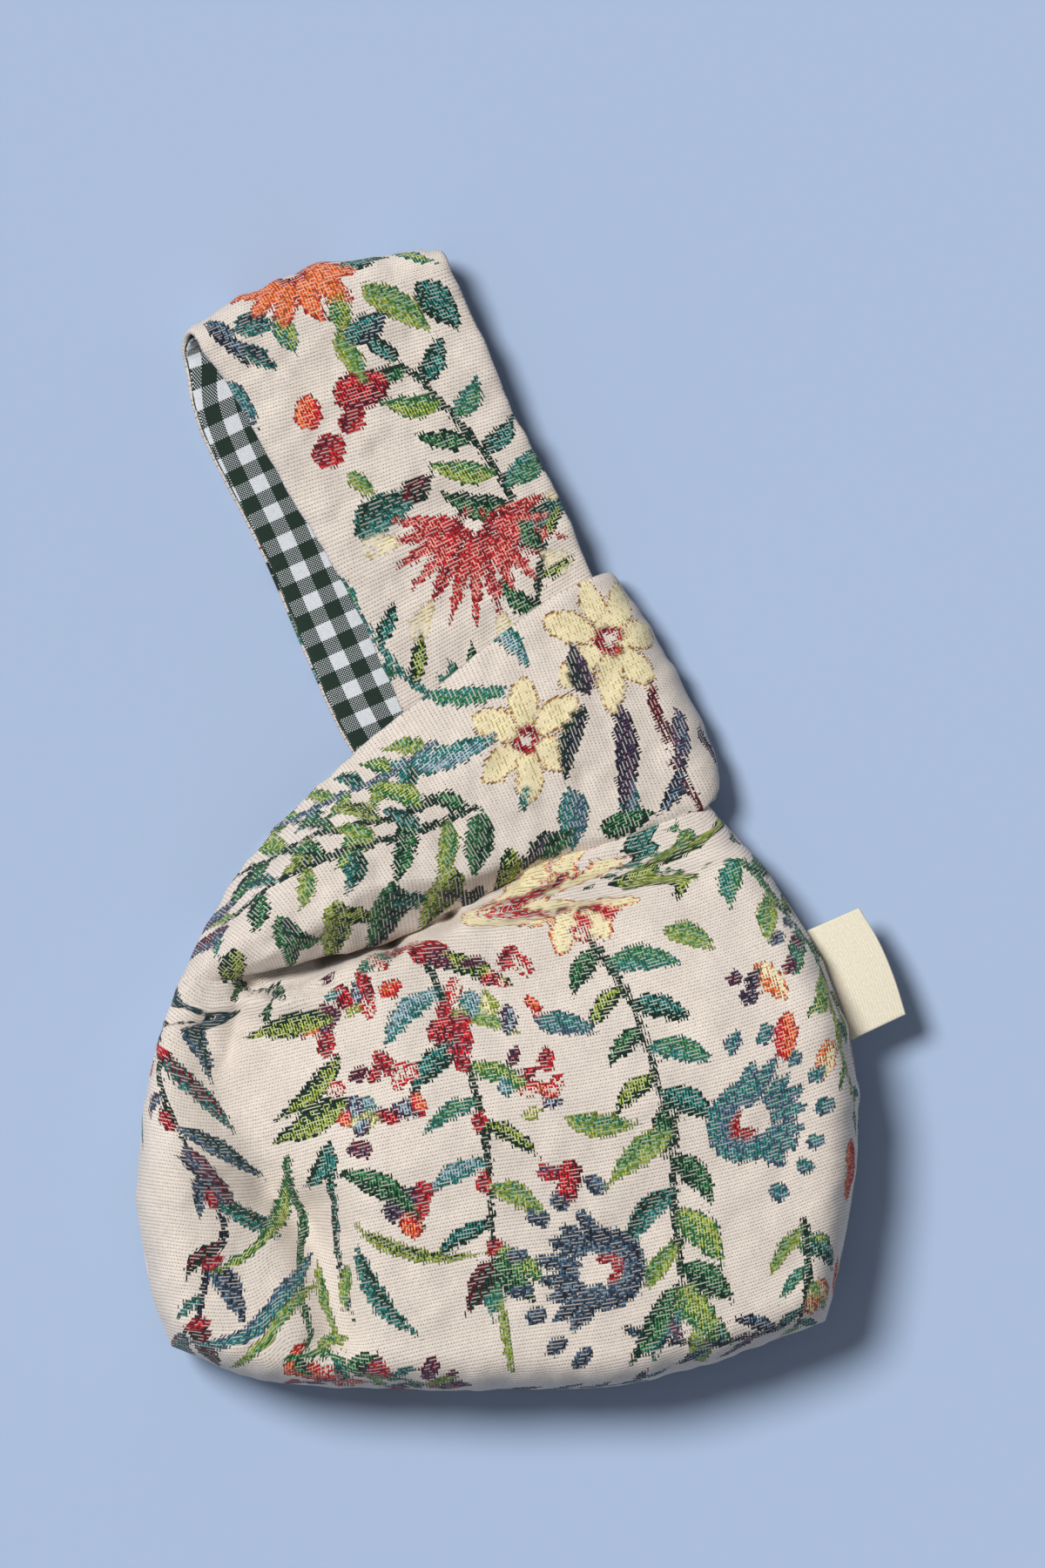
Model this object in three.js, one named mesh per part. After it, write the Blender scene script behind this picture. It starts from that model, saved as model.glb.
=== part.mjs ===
// A Japanese knot bag of tapestry cloth, lying on its back with its long loop
// drawn through its short one. The cloth is two shaped panels, front and back,
// sewn together at the sides, round the bottom and on the back of each loop.
// The long loop shows its cotton lining, and a folded ribbon tab is sewn into
// the right side seam.
//
// Millimetres. +X is to the right of the bag, +Y from its bottom towards its
// loops, +Z up from the surface it lies on. The origin is on that surface, under
// the middle of the whole bag.
//
// Every sheet is a grid of points on the middle of its cloth, which is then
// given its thickness. Grids that share an edge are one piece of cloth.

import * as THREE from "three";
import { mergeVertices } from "three/addons/utils/BufferGeometryUtils.js";

// Cloth
const CLOTH = 1.6; // tapestry panel
const LINING = 1.0; // cotton lining of the long loop
const TAB = 1.2; // folded ribbon
const GAP = 0.5; // between a panel and its lining
const REST = CLOTH / 2; // middle of a panel that lies on the surface

// Body
const SEAM_HEIGHT = 20; // of the side and bottom seams above the surface
const BELLY_HEIGHT = 50; // of the front at the middle of the bag
const BELLY_FALL = 5; // how much lower the front is near its sides
const FRONT_ROLL = { left: 42, right: 36, bottom: 30 }; // width of the rounded rims
const BACK_ROLL = { left: 15, right: 15, bottom: 15 }; // the same on the back
const SEAM_SPLIT = 1.3; // between the middles of the two panels at their seam
const RIGHT_SEAM_LOW = 11; // height of the right seam where it ends, by the long loop
const RIGHT_SEAM_END = 0.87; // and how far up the side that is, as a share
const UNDER_LONG_LOOP = 3.8; // middle of the back panel where the short loop lies under it

// Loops
const LONG_FOLD = 7; // how far the long loop's end stands out from its layers
const LONG_BOW = 7; // and how much its end bows out in the middle
const SHORT_FOLD = 8;
const SHORT_BOW = 6;
const FOLD_ROUNDNESS = 0.8; // 1 for a round fold, less for a squarer one
const SEAM_BACK = 22; // the long loop's seam, behind its end
const SHORT_SEAM_BACK = 12;

// Outline of the body, from the lower left corner round to each end
const LEFT_SIDE = [
  { x: -106.8, y: -161.1 },
  { x: -113.2, y: -142.2 },
  { x: -116.7, y: -115.5 },
  { x: -115.3, y: -94.1 },
  { x: -111.3, y: -71.4 },
  { x: -103.3, y: -49.3 },
];
const RIGHT_SIDE = [
  { x: 91.8, y: -153.4 },
  { x: 97.5, y: -130 },
  { x: 101.2, y: -105 },
  { x: 101.2, y: -80 },
  { x: 95, y: -54 },
  { x: 82, y: -29 },
  { x: 66, y: -8 },
  { x: 49, y: 10 },
];
const BOTTOM = [
  { x: -106.8, y: -161.1 },
  { x: -80, y: -171 },
  { x: -45, y: -175.6 },
  { x: -5.3, y: -176.4 },
  { x: 29.4, y: -172.9 },
  { x: 64, y: -163.5 },
  { x: 91.8, y: -153.4 },
];
// Upper edge of each body panel: the root of the short loop up to the second
// row, then the mouth, then the root of the long loop from the fifth row on
const FRONT_TOP = [
  { x: -103.3, y: -49.3, z: 29, lip: 31 },
  { x: -86.8, y: -48.2, z: 29, lip: 32 },
  { x: -68, y: -33, z: 20.5, lip: 33.5 },
  { x: -42.7, y: -18, z: 17, lip: 31 },
  { x: -12, y: -10, z: 15.5, lip: 25 },
  { x: 24, y: -0.7, z: 16.2, lip: 22.5 },
  { x: 49, y: 10, z: 15.5, lip: 20 },
];
const BACK_TOP = [
  { x: -103.3, y: -49.3 },
  { x: -86.8, y: -50 },
  { x: -68, y: -48 },
  { x: -42.7, y: -38 },
  { x: -12, y: -24 },
  { x: 24, y: -9 },
  { x: 49, y: 10 },
];
const LIP = 0.84; // how far up the front its lip stands, where it turns down to the mouth
// Soft creases in the front: the line that each follows, its width and its depth,
// which is less than zero for a ridge
const CREASES = [
  { fromX: -72, fromY: -108, toX: -61, toY: -158, width: 13, depth: 3 },
  { fromX: -100, fromY: -88, toX: -80, toY: -122, width: 11, depth: 2.5 },
  { fromX: 36, fromY: -34, toX: 62, toY: -56, width: 11, depth: -2.5 },
];
const ROOT_END = 1 / 6; // share of the upper edge that is the short loop's root
const MOUTH_END = 4 / 6; // and where the long loop's root begins

// Long loop, in sections across it: its left and right edges and its height
const LONG_FRONT = [
  { lx: -12, ly: -10, rx: 49, ry: 10, z: 15.5, crown: 0.7 },
  { lx: -24, ly: 11.3, rx: 39.5, ry: 38, z: 15.5, crown: 0.5 },
  { lx: -35.5, ly: 31.9, rx: 24, ry: 66.1, z: 15.5, crown: 0.5 },
  { lx: -51.5, ly: 66.3, rx: 10.7, ry: 96.8, z: 14.2, crown: 1 },
  { lx: -71.6, ly: 100.5, rx: -2.7, ry: 122.2, z: 13, crown: 1.5 },
  { lx: -86, ly: 129, rx: -14.5, ry: 150, z: 13, crown: 1 },
  { lx: -98.5, ly: 143.2, rx: -23, ry: 167.5, z: 13, crown: 0.3 },
];
const LONG_BACK = [
  { lx: -99.5, ly: 139.5, rx: -27, ry: 163, z: REST, crown: 0 },
  { lx: -97, ly: 118, rx: -31, ry: 150, z: REST, crown: 0 },
  { lx: -79.3, ly: 80.8, rx: -14.7, ry: 110.1, z: REST, crown: 0 },
  { lx: -64.9, ly: 47.4, rx: 0, ry: 76.8, z: 2.1, crown: 0.3 },
  { lx: -51.5, ly: 19.9, rx: 14.7, ry: 47.4, z: 3.6, crown: 0.3 },
  { lx: -31, ly: -5, rx: 33, ry: 26, z: 3.6, crown: 0.2 },
  { lx: -12, ly: -24, rx: 49, ry: 10, z: 3.8, crown: 0 },
];

// Short loop, in sections across it. o is its upper, outer edge, m its crown,
// c the crest of its lower fold, i the foot of that fold, and tuck how far the
// cloth then turns in underneath.
const SHORT_FRONT = [
  { ox: -103.3, oy: -49.3, oz: 20, mx: -98, my: -49, mz: 28, cx: -91, cy: -48.5, cz: 29,
    ix: -88, iy: -48.3, iz: 28.5, tuck: -1 },
  { ox: -94.5, oy: -31, oz: 17, mx: -85.5, my: -36, mz: 34, cx: -76.5, cy: -41.5, cz: 35,
    ix: -75, iy: -44.5, iz: 32.5, tuck: 2 },
  { ox: -79, oy: -8.5, oz: 16.5, mx: -68.5, my: -20, mz: 36, cx: -58, cy: -32, cz: 38,
    ix: -57.7, iy: -40, iz: 31.5, tuck: 4 },
  { ox: -62.5, oy: 8.5, oz: 17, mx: -51, my: -6.5, mz: 35, cx: -40, cy: -23.5, cz: 37.5,
    ix: -40, iy: -36, iz: 30, tuck: 5 },
  { ox: -47.5, oy: 22, oz: 18, mx: -33.5, my: 2.5, mz: 31, cx: -19.5, cy: -18.5, cz: 33.5,
    ix: -18.7, iy: -26.3, iz: 27, tuck: 4.5 },
  { ox: -27, oy: 38.3, oz: 18.5, mx: -13.5, my: 13, mz: 27, cx: -0.5, cy: -12.5, cz: 28.5,
    ix: 0, iy: -17, iz: 23, tuck: 4 },
  { ox: -7, oy: 54.4, oz: 18.5, mx: 5, my: 23.5, mz: 24.5, cx: 17, cy: -7.5, cz: 24.5,
    ix: 17.4, iy: -10.5, iz: 21.3, tuck: 3 },
  { ox: 8.5, oy: 66.2, oz: 18.2, mx: 22, my: 32, mz: 22.8, cx: 35.5, cy: -2.5, cz: 22.5,
    ix: 36, iy: -4.9, iz: 20.6, tuck: 2 },
  { ox: 19.5, oy: 71.5, oz: 17.6, mx: 34.5, my: 38, mz: 21, cx: 50, cy: 3.5, cz: 21,
    ix: 51.5, iy: 1, iz: 19.6, tuck: 1 },
];
const SHORT_BACK = [
  { ox: 20, oy: 70, oz: REST, ix: 51, iy: 2.5, iz: REST },
  { ox: 8, oy: 63, oz: REST, ix: 39, iy: -1.5, iz: REST },
  { ox: -20, oy: 43, oz: REST, ix: 10, iy: -12, iz: REST },
  { ox: -47, oy: 21.5, oz: REST, ix: -19, iy: -24, iz: REST },
  { ox: -72, oy: -1, oz: REST, ix: -51, iy: -37.5, iz: REST },
  { ox: -91, oy: -25.5, oz: 5, ix: -73, iy: -45, iz: REST },
  { ox: -103.3, oy: -49.3, oz: 19.6, ix: -86.8, iy: -50, iz: REST },
];

// Label tab: its two corners at the side seam and the two of its folded end
const TAB_SHAPE = [
  { sx: 87.1, sy: -35, ex: 102.6, ey: -28.2, z: 16.8 },
  { sx: 92.8, sy: -45.4, ex: 108.6, ey: -38.4, z: 18.2 },
  { sx: 97.2, sy: -56.4, ex: 113.2, ey: -49.4, z: 19.2 },
  { sx: 100.4, sy: -68, ex: 116.6, ey: -60.4, z: 19.6 },
];

// Steps of each grid
const ROOT_STEPS = 8;
const MOUTH_STEPS = 8;
const LONG_STEPS = 8;
const BODY_STEPS = 14;
const LOOP_STEPS = 14;
const FOLD_STEPS = 5;

const mix = (a, b, share) => a + (b - a) * share;
const clamp = (value) => Math.min(Math.max(value, 0), 1);
const smooth = (value) => clamp(value) ** 2 * (3 - 2 * clamp(value));

// Height of a quarter circle, as a share of one, at a share of the way in from
// its foot
const quarterRound = (share) => Math.sqrt(1 - (1 - clamp(share)) ** 2);

// The lesser of two shares, blended where they are alike, so that a rim turns
// its corners smoothly
const lesser = (a, b) => (a * b) / Math.max(a + b - a * b, 1e-6);

// Reads rows of named numbers at a share of the way through them, on the smooth
// curve that passes through every row
function rowAt(rows, share) {
  const last = rows.length - 1;
  const place = clamp(share) * last;
  const i = Math.min(Math.floor(place), last - 1);
  const t = place - i;
  const read = {};
  for (const key of Object.keys(rows[i])) {
    const b = rows[i][key];
    const c = rows[i + 1][key];
    const a = i > 0 ? rows[i - 1][key] : 2 * b - c;
    const d = i + 2 <= last ? rows[i + 2][key] : 2 * c - b;
    read[key] =
      b +
      0.5 * t * (c - a + t * (2 * a - 5 * b + 4 * c - d + t * (3 * (b - c) + d - a)));
  }
  return read;
}

// A grid of points: one row for each value of v, one column for each value of u
const gridOf = (us, vs, pointAt) => vs.map((v) => us.map((u) => pointAt(u, v)));

const evenly = (from, to, steps) =>
  Array.from({ length: steps + 1 }, (_, i) => mix(from, to, i / steps));

// Columns across each loop and across a body panel, closer towards the right
// rim, and the rows of a body panel, closer towards the bottom rim
const SHORT_ACROSS = evenly(0, 1, ROOT_STEPS);
const LONG_ACROSS = evenly(0, 1, LONG_STEPS).map((t) => mix(t, 1 - (1 - t) ** 2, 0.6));
const BODY_COLUMNS = [
  ...SHORT_ACROSS.map((t) => t * ROOT_END),
  ...evenly(ROOT_END, MOUTH_END, MOUTH_STEPS).slice(1),
  ...LONG_ACROSS.map((t) => mix(MOUTH_END, 1, t)).slice(1),
];
const BODY_ROWS = evenly(0, 1, BODY_STEPS).map((v) => mix(v * v, v, 0.5));

// Plan of a body panel: its four edges, spread evenly over the space between
function bodyPlan(u, v, top) {
  const left = rowAt(LEFT_SIDE, v);
  const right = rowAt(RIGHT_SIDE, v);
  const low = rowAt(BOTTOM, u);
  const high = rowAt(top, u);
  const [lowLeft, lowRight] = [BOTTOM[0], BOTTOM[BOTTOM.length - 1]];
  const [highLeft, highRight] = [top[0], top[top.length - 1]];
  const across = (key) =>
    mix(low[key], high[key], v) +
    mix(left[key], right[key], u) -
    mix(mix(lowLeft[key], lowRight[key], u), mix(highLeft[key], highRight[key], u), v);
  return { x: across("x"), y: across("y"), width: right.x - left.x, height: high.y - low.y };
}

// Height of the seam: level round the left side and the bottom, then down the
// right side to its end, past which the edges of the two panels part
function seamHeight(u, v, parted) {
  const low = mix(SEAM_HEIGHT, RIGHT_SEAM_LOW, smooth((v - 0.5) / (RIGHT_SEAM_END - 0.5)));
  const end = smooth((v - RIGHT_SEAM_END) / (1 - RIGHT_SEAM_END));
  return mix(SEAM_HEIGHT, mix(low, parted, end), u);
}

// How far in from the rim a point of the body is, as a share of the rim's width
function inFromRim(u, v, plan, roll) {
  const across = lesser(
    clamp((u * plan.width) / roll.left),
    clamp(((1 - u) * plan.width) / roll.right),
  );
  return lesser(across, clamp((v * plan.height) / roll.bottom));
}

// How far the creases sink the front at a point
function creaseDepth(x, y) {
  let sunk = 0;
  for (const { fromX, fromY, toX, toY, width, depth } of CREASES) {
    const [alongX, alongY] = [toX - fromX, toY - fromY];
    const share = clamp(
      ((x - fromX) * alongX + (y - fromY) * alongY) / (alongX ** 2 + alongY ** 2),
    );
    const away = Math.hypot(x - fromX - share * alongX, y - fromY - share * alongY);
    sunk += depth * Math.exp(-((away / width) ** 2));
  }
  return sunk;
}

function frontBody(u, v) {
  const plan = bodyPlan(u, v, FRONT_TOP);
  const top = rowAt(FRONT_TOP, u);
  const belly = BELLY_HEIGHT - BELLY_FALL * (2 * u - 1) ** 2;
  const crown =
    v < LIP
      ? mix(belly, top.lip, smooth((v / LIP - 0.5) / 0.5))
      : mix(top.lip, top.z, ((v - LIP) / (1 - LIP)) ** 0.85);
  const rise = quarterRound(inFromRim(u, v, plan, FRONT_ROLL));
  const seam = seamHeight(u, v, top.z) + SEAM_SPLIT / 2;
  const sunk = creaseDepth(plan.x, plan.y) * rise;
  return new THREE.Vector3(plan.x, plan.y, mix(seam, crown, rise) - sunk);
}

function backBody(u, v) {
  const plan = bodyPlan(u, v, BACK_TOP);
  const underLoop = smooth((v - 0.75) / 0.22) * smooth((u - 0.45) / 0.2);
  const flat = mix(REST, UNDER_LONG_LOOP, underLoop);
  const rise = quarterRound(inFromRim(u, v, plan, BACK_ROLL));
  const seam = seamHeight(u, v, UNDER_LONG_LOOP) - SEAM_SPLIT / 2;
  return new THREE.Vector3(plan.x, plan.y, mix(seam, flat, rise));
}

// A fold that turns a strap over: from the last row of its front layer round to
// the first row of its back layer, standing out by depth and bowed by bow
function foldBetween(front, back, share, t, depth, bow) {
  const angle = share * Math.PI;
  const from = front(t);
  const to = back(t);
  const [a, b] = [front(0), front(1)];
  const outward = new THREE.Vector3(a.y - b.y, b.x - a.x, 0).normalize();
  const out = (depth + bow * Math.sin(t * Math.PI)) * Math.sin(angle) ** FOLD_ROUNDNESS;
  return from
    .clone()
    .lerp(to, (1 - Math.cos(angle)) / 2)
    .addScaledVector(outward, out);
}

function longSection(rows, share, t, inset = 0) {
  const row = rowAt(rows, share);
  const x = mix(row.lx, row.rx, t);
  const y = mix(row.ly, row.ry, t);
  const z = Math.max(row.z, REST) + row.crown * Math.sin(t * Math.PI);
  return new THREE.Vector3(x, y, z + inset);
}

function shortFrontSection(share, t) {
  const row = rowAt(SHORT_FRONT, share);
  const towards = Math.hypot(row.ox - row.ix, row.oy - row.iy);
  const tucked = {
    x: row.ix + (row.tuck * (row.ox - row.ix)) / towards,
    y: row.iy + (row.tuck * (row.oy - row.iy)) / towards,
    z: row.iz - Math.max(row.tuck, 0) * 0.35,
  };
  const across = rowAt(
    [
      { x: row.ox, y: row.oy, z: row.oz },
      { x: row.mx, y: row.my, z: row.mz },
      { x: row.cx, y: row.cy, z: row.cz },
      { x: row.ix, y: row.iy, z: row.iz },
      tucked,
    ],
    t,
  );
  return new THREE.Vector3(across.x, across.y, across.z);
}

function shortBackSection(share, t) {
  const row = rowAt(SHORT_BACK, share);
  const width = Math.hypot(row.ix - row.ox, row.iy - row.oy);
  const rim = quarterRound((t * width) / BACK_ROLL.left);
  return new THREE.Vector3(
    mix(row.ox, row.ix, t),
    mix(row.oy, row.iy, t),
    Math.max(mix(row.oz, row.iz, rim), REST),
  );
}

// Carries a strap's first rows over to the edge of the body that it grows from,
// never lower than the surface allows
function rootedOn(grid, edge, rows) {
  const lowest = new THREE.Vector3(-Infinity, -Infinity, REST);
  const offsets = edge.map((point, column) => point.clone().sub(grid[0][column]));
  return grid.map((row, r) => {
    const share = 1 - smooth(r / rows);
    return row.map((point, column) =>
      point.clone().addScaledVector(offsets[column], share).max(lowest),
    );
  });
}

// One closed solid from grids of points on the middle of a sheet
function sheetSolid(grids, thickness) {
  const positions = [];
  for (const grid of grids) {
    for (let r = 0; r + 1 < grid.length; r += 1) {
      for (let c = 0; c + 1 < grid[r].length; c += 1) {
        const [a, b] = [grid[r][c], grid[r][c + 1]];
        const [d, e] = [grid[r + 1][c], grid[r + 1][c + 1]];
        for (const p of [a, b, e, a, e, d]) positions.push(p.x, p.y, p.z);
      }
    }
  }
  const soup = new THREE.BufferGeometry();
  soup.setAttribute("position", new THREE.Float32BufferAttribute(positions, 3));
  const middle = mergeVertices(soup, 1e-3);
  middle.computeVertexNormals();
  const place = middle.getAttribute("position");
  const normal = middle.getAttribute("normal");
  const count = place.count;
  const shell = new Float32Array(count * 6);
  for (let i = 0; i < count; i += 1) {
    for (const [axis, p, n] of [
      [0, place.getX(i), normal.getX(i)],
      [1, place.getY(i), normal.getY(i)],
      [2, place.getZ(i), normal.getZ(i)],
    ]) {
      shell[i * 3 + axis] = p + (n * thickness) / 2;
      shell[(i + count) * 3 + axis] = p - (n * thickness) / 2;
    }
  }
  const faces = [];
  const index = middle.getIndex().array;
  const edges = new Map();
  for (let f = 0; f < index.length; f += 3) {
    const [a, b, c] = [index[f], index[f + 1], index[f + 2]];
    if (a === b || b === c || c === a) continue;
    faces.push(a, b, c, a + count, c + count, b + count);
    for (const [from, to] of [
      [a, b],
      [b, c],
      [c, a],
    ]) {
      if (!edges.delete(`${to},${from}`)) edges.set(`${from},${to}`, [from, to]);
    }
  }
  for (const [from, to] of edges.values()) {
    faces.push(to, from, from + count, to, from + count, to + count);
  }
  const solid = new THREE.BufferGeometry();
  solid.setAttribute("position", new THREE.BufferAttribute(shell, 3));
  solid.setIndex(faces);
  return solid;
}

// Front panel: body, short loop's front layer and long loop's front layer, each
// loop carried over its end to the seam behind it
function frontPanel() {
  const body = gridOf(BODY_COLUMNS, BODY_ROWS, frontBody);
  const top = body[body.length - 1];
  const shortEdge = top.slice(0, ROOT_STEPS + 1);
  const longEdge = top.slice(ROOT_STEPS + MOUTH_STEPS);
  const shortEnd = (t) => shortFrontSection(1, t);
  const shortBehind = (t) => shortBackSection(0, t);
  const longEnd = (t) => longSection(LONG_FRONT, 1, t);
  const longBehind = (t) => longSection(LONG_BACK, 0, t);
  const short = [
    ...rootedOn(
      gridOf(SHORT_ACROSS, evenly(0, 1, LOOP_STEPS), (t, s) => shortFrontSection(s, t)),
      shortEdge,
      3,
    ),
    ...gridOf(SHORT_ACROSS, evenly(0, 1, FOLD_STEPS).slice(1), (t, s) =>
      foldBetween(shortEnd, shortBehind, s, t, SHORT_FOLD, SHORT_BOW),
    ),
    ...gridOf(SHORT_ACROSS, [shortSeam], (t, s) => shortBackSection(s, t)),
  ];
  const long = [
    ...rootedOn(
      gridOf(LONG_ACROSS, evenly(0, 1, LOOP_STEPS), (t, s) => longSection(LONG_FRONT, s, t)),
      longEdge,
      3,
    ),
    ...gridOf(LONG_ACROSS, evenly(0, 1, FOLD_STEPS).slice(1), (t, s) =>
      foldBetween(longEnd, longBehind, s, t, LONG_FOLD, LONG_BOW),
    ),
    ...gridOf(LONG_ACROSS, evenly(0, longSeam, 2).slice(1), (t, s) =>
      longSection(LONG_BACK, s, t),
    ),
  ];
  return sheetSolid([body, short, long], CLOTH);
}

// Share of the way along a loop's back layer at which its seam lies
const shareAlong = (rows, distance, x, y) =>
  distance /
  rows
    .slice(1)
    .reduce((sum, row, i) => sum + Math.hypot(row[x] - rows[i][x], row[y] - rows[i][y]), 0);
const longSeam = shareAlong(LONG_BACK, SEAM_BACK, "lx", "ly");
const shortSeam = shareAlong(SHORT_BACK, SHORT_SEAM_BACK, "ox", "oy");

// Back panel: body and the back layer of each loop, up to its seam
function backPanel() {
  const body = gridOf(BODY_COLUMNS, BODY_ROWS, backBody);
  const top = body[body.length - 1];
  const shortEdge = top.slice(0, ROOT_STEPS + 1);
  const longEdge = top.slice(ROOT_STEPS + MOUTH_STEPS);
  const seamStep = 0.006;
  const short = rootedOn(
    gridOf(SHORT_ACROSS, evenly(1, shortSeam + seamStep, LOOP_STEPS), (t, s) =>
      shortBackSection(s, t),
    ),
    shortEdge,
    3,
  );
  const long = rootedOn(
    gridOf(LONG_ACROSS, evenly(1, longSeam + seamStep, LOOP_STEPS), (t, s) =>
      longSection(LONG_BACK, s, t),
    ),
    longEdge,
    3,
  );
  return sheetSolid(
    [body, short, long].map((grid) => grid.map((row) => [...row].reverse())),
    CLOTH,
  );
}

// Lining of the long loop: one strip inside it, from the body over its end and
// back to the body
function longLining() {
  const inset = CLOTH / 2 + GAP + LINING / 2;
  const across = evenly(0.012, 0.988, LONG_STEPS);
  const front = (s, t) => longSection(LONG_FRONT, s, t, -inset);
  const back = (s, t) => longSection(LONG_BACK, s, t, inset);
  const grid = [
    ...gridOf(across, evenly(0.075, 0.995, LOOP_STEPS), (t, s) => front(s, t)),
    ...gridOf(across, evenly(0, 1, FOLD_STEPS).slice(1), (t, s) =>
      foldBetween(
        (t2) => front(0.995, t2),
        (t2) => back(0, t2),
        s,
        t,
        LONG_FOLD - inset - GAP,
        LONG_BOW,
      ),
    ),
    ...gridOf(across, evenly(0, 0.95, LOOP_STEPS).slice(1), (t, s) => back(s, t)),
  ];
  return sheetSolid([grid], LINING);
}

// Ribbon tab, from just clear of the side seam out to its folded end
function labelTab() {
  const grid = gridOf(evenly(0, 1, 3), evenly(0, 1, 6), (t, s) => {
    const row = rowAt(TAB_SHAPE, s);
    const droop = 0.8 * t * t;
    return new THREE.Vector3(mix(row.sx, row.ex, t), mix(row.sy, row.ey, t), row.z - droop);
  });
  return sheetSolid([grid.reverse()], TAB);
}

// Pieces
const cream = new THREE.Color("#ded2c4");
const tapestry = new THREE.MeshStandardMaterial({ color: cream, roughness: 0.9, metalness: 0 });
const tapestryBack = tapestry.clone();
const gingham = new THREE.MeshStandardMaterial({
  color: new THREE.Color("#8f9490"),
  roughness: 0.85,
  metalness: 0,
});
const ribbon = new THREE.MeshStandardMaterial({
  color: new THREE.Color("#e9e2c9"),
  roughness: 0.8,
  metalness: 0,
});

const bag = new THREE.Group();
for (const [name, geometry, material] of [
  ["front_panel", frontPanel(), tapestry],
  ["back_panel", backPanel(), tapestryBack],
  ["loop_lining", longLining(), gingham],
  ["label_tab", labelTab(), ribbon],
]) {
  const piece = new THREE.Mesh(geometry, material);
  piece.name = name;
  bag.add(piece);
}

// Origin on the surface under the middle of the bag
const extent = new THREE.Box3().setFromObject(bag);
const centre = extent.getCenter(new THREE.Vector3());
for (const piece of bag.children) {
  piece.position.set(-centre.x, -centre.y, -extent.min.z);
}

export default bag;
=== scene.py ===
"""A Japanese knot bag of floral tapestry, lying on its back with its long loop drawn
through its short one, seen from straight above. Lengths in the shapes are in
millimetres: +X to the right, +Y from the bottom of the bag to its loops, +Z up."""

import bpy
import numpy as np
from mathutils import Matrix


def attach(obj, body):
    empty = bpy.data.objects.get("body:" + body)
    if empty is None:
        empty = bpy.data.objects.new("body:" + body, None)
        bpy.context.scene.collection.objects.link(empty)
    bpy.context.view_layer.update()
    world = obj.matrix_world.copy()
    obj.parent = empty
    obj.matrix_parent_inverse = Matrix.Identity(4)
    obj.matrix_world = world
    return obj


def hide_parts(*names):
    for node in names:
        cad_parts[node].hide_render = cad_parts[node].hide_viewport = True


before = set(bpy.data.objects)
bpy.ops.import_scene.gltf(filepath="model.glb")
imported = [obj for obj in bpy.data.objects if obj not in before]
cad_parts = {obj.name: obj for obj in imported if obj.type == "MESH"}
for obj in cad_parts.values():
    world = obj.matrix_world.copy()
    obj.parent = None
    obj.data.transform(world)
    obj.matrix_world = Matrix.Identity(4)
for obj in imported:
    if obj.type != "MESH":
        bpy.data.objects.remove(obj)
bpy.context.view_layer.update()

# Front panel. One shaped piece of floral jacquard tapestry: the front of the body
# with the front of the short loop and of the long loop. Its edges are turned in and
# sewn to the back panel, and each loop goes over its end to a seam behind.

MM = 0.001
CLOTH = 1.6  # thickness of the tapestry
REST = CLOTH / 2  # middle of a panel that lies on the surface
TO_FRAME = (0.447, 2.077)  # from the drawing's origin to the frame's

SEAM_HEIGHT = 20.0
BELLY_HEIGHT = 50.0
BELLY_FALL = 5.0
SEAM_SPLIT = 1.3
RIGHT_SEAM_LOW = 11.0
RIGHT_SEAM_END = 0.87
ROOT_END = 1 / 6  # share of the upper edge that is the short loop's root
MOUTH_END = 4 / 6  # and where the long loop's root begins
FRONT_ROLL = (20, 12, 13)  # width of the rounded rims: left, right, bottom
FULLNESS = 2.5  # power of their curve
LIP_POWERS = (0.42, 0.8)  # of the fall from the lip to the mouth, left and right
LIP_CHANGE = (0.35, 0.4)  # share across where the one turns into the other, and over how much

# Outline of the body as x, y
LEFT_SIDE = [(-106.8, -161.1), (-113.2, -142.2), (-116.7, -115.5), (-115.3, -94.1),
             (-111.3, -71.4), (-103.3, -49.3)]
RIGHT_SIDE = [(91.8, -153.4), (97.5, -130), (101.2, -105), (101.2, -80), (95, -54),
              (82, -29), (66, -8), (49, 10)]
BOTTOM = [(-106.8, -161.1), (-80, -171), (-45, -173.8), (-5.3, -174), (29.4, -172.9),
          (64, -163.5), (91.8, -153.4)]
# Upper edge of the front as x, y, height, height of its lip, share of the way up to it
FRONT_TOP = [(-103.3, -49.3, 29, 31, 0.9), (-86.8, -48.2, 28, 32.5, 0.93),
             (-68, -33, 14, 34, 0.855), (-42.7, -18, 11, 32, 0.87), (-12, -10, 13, 27.5, 0.915),
             (24, -0.7, 15.5, 23, 0.94), (49, 10, 15.5, 20, 0.95)]
# Creases of the front: from x, y, to x, y, width, depth, which is below zero for a ridge
CREASES = [
    (-72, -108, -61, -158, 13, 3),
    (-100, -88, -80, -122, 11, 2.5),
    (36, -34, 62, -56, 11, -2.5),
    (-80, -72, -70, -124, 24, 10.0),
    (-98, -68, -77, -114, 9, 4.0),
    (-77, -114, -68, -126, 7, 4.0),
    (-64, -122, -56, -156, 8, 6.5),
    (-76, -128, -70, -156, 7, -2.0),
    (-48, -118, -42, -150, 8, -1.6),
    (-85, -52, -90, -74, 3.5, 2.6),
    (-85, -51, -76, -54.5, 1.8, 3.0),
    (-76, -54.5, -58, -52, 1.8, 3.0),
    (-82, -57, -58, -56, 4, -1.6),
    (-60, -43, -40, -38.5, 3.4, 14),
    (-40, -38.5, -22, -30.5, 3.2, 11),
    (-22, -30.5, -2, -19, 2.8, 7),
    (-40, -60, 10, -78, 14, -1.0),
    (40, -120, 80, -96, 10, 1.2),
]
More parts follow.
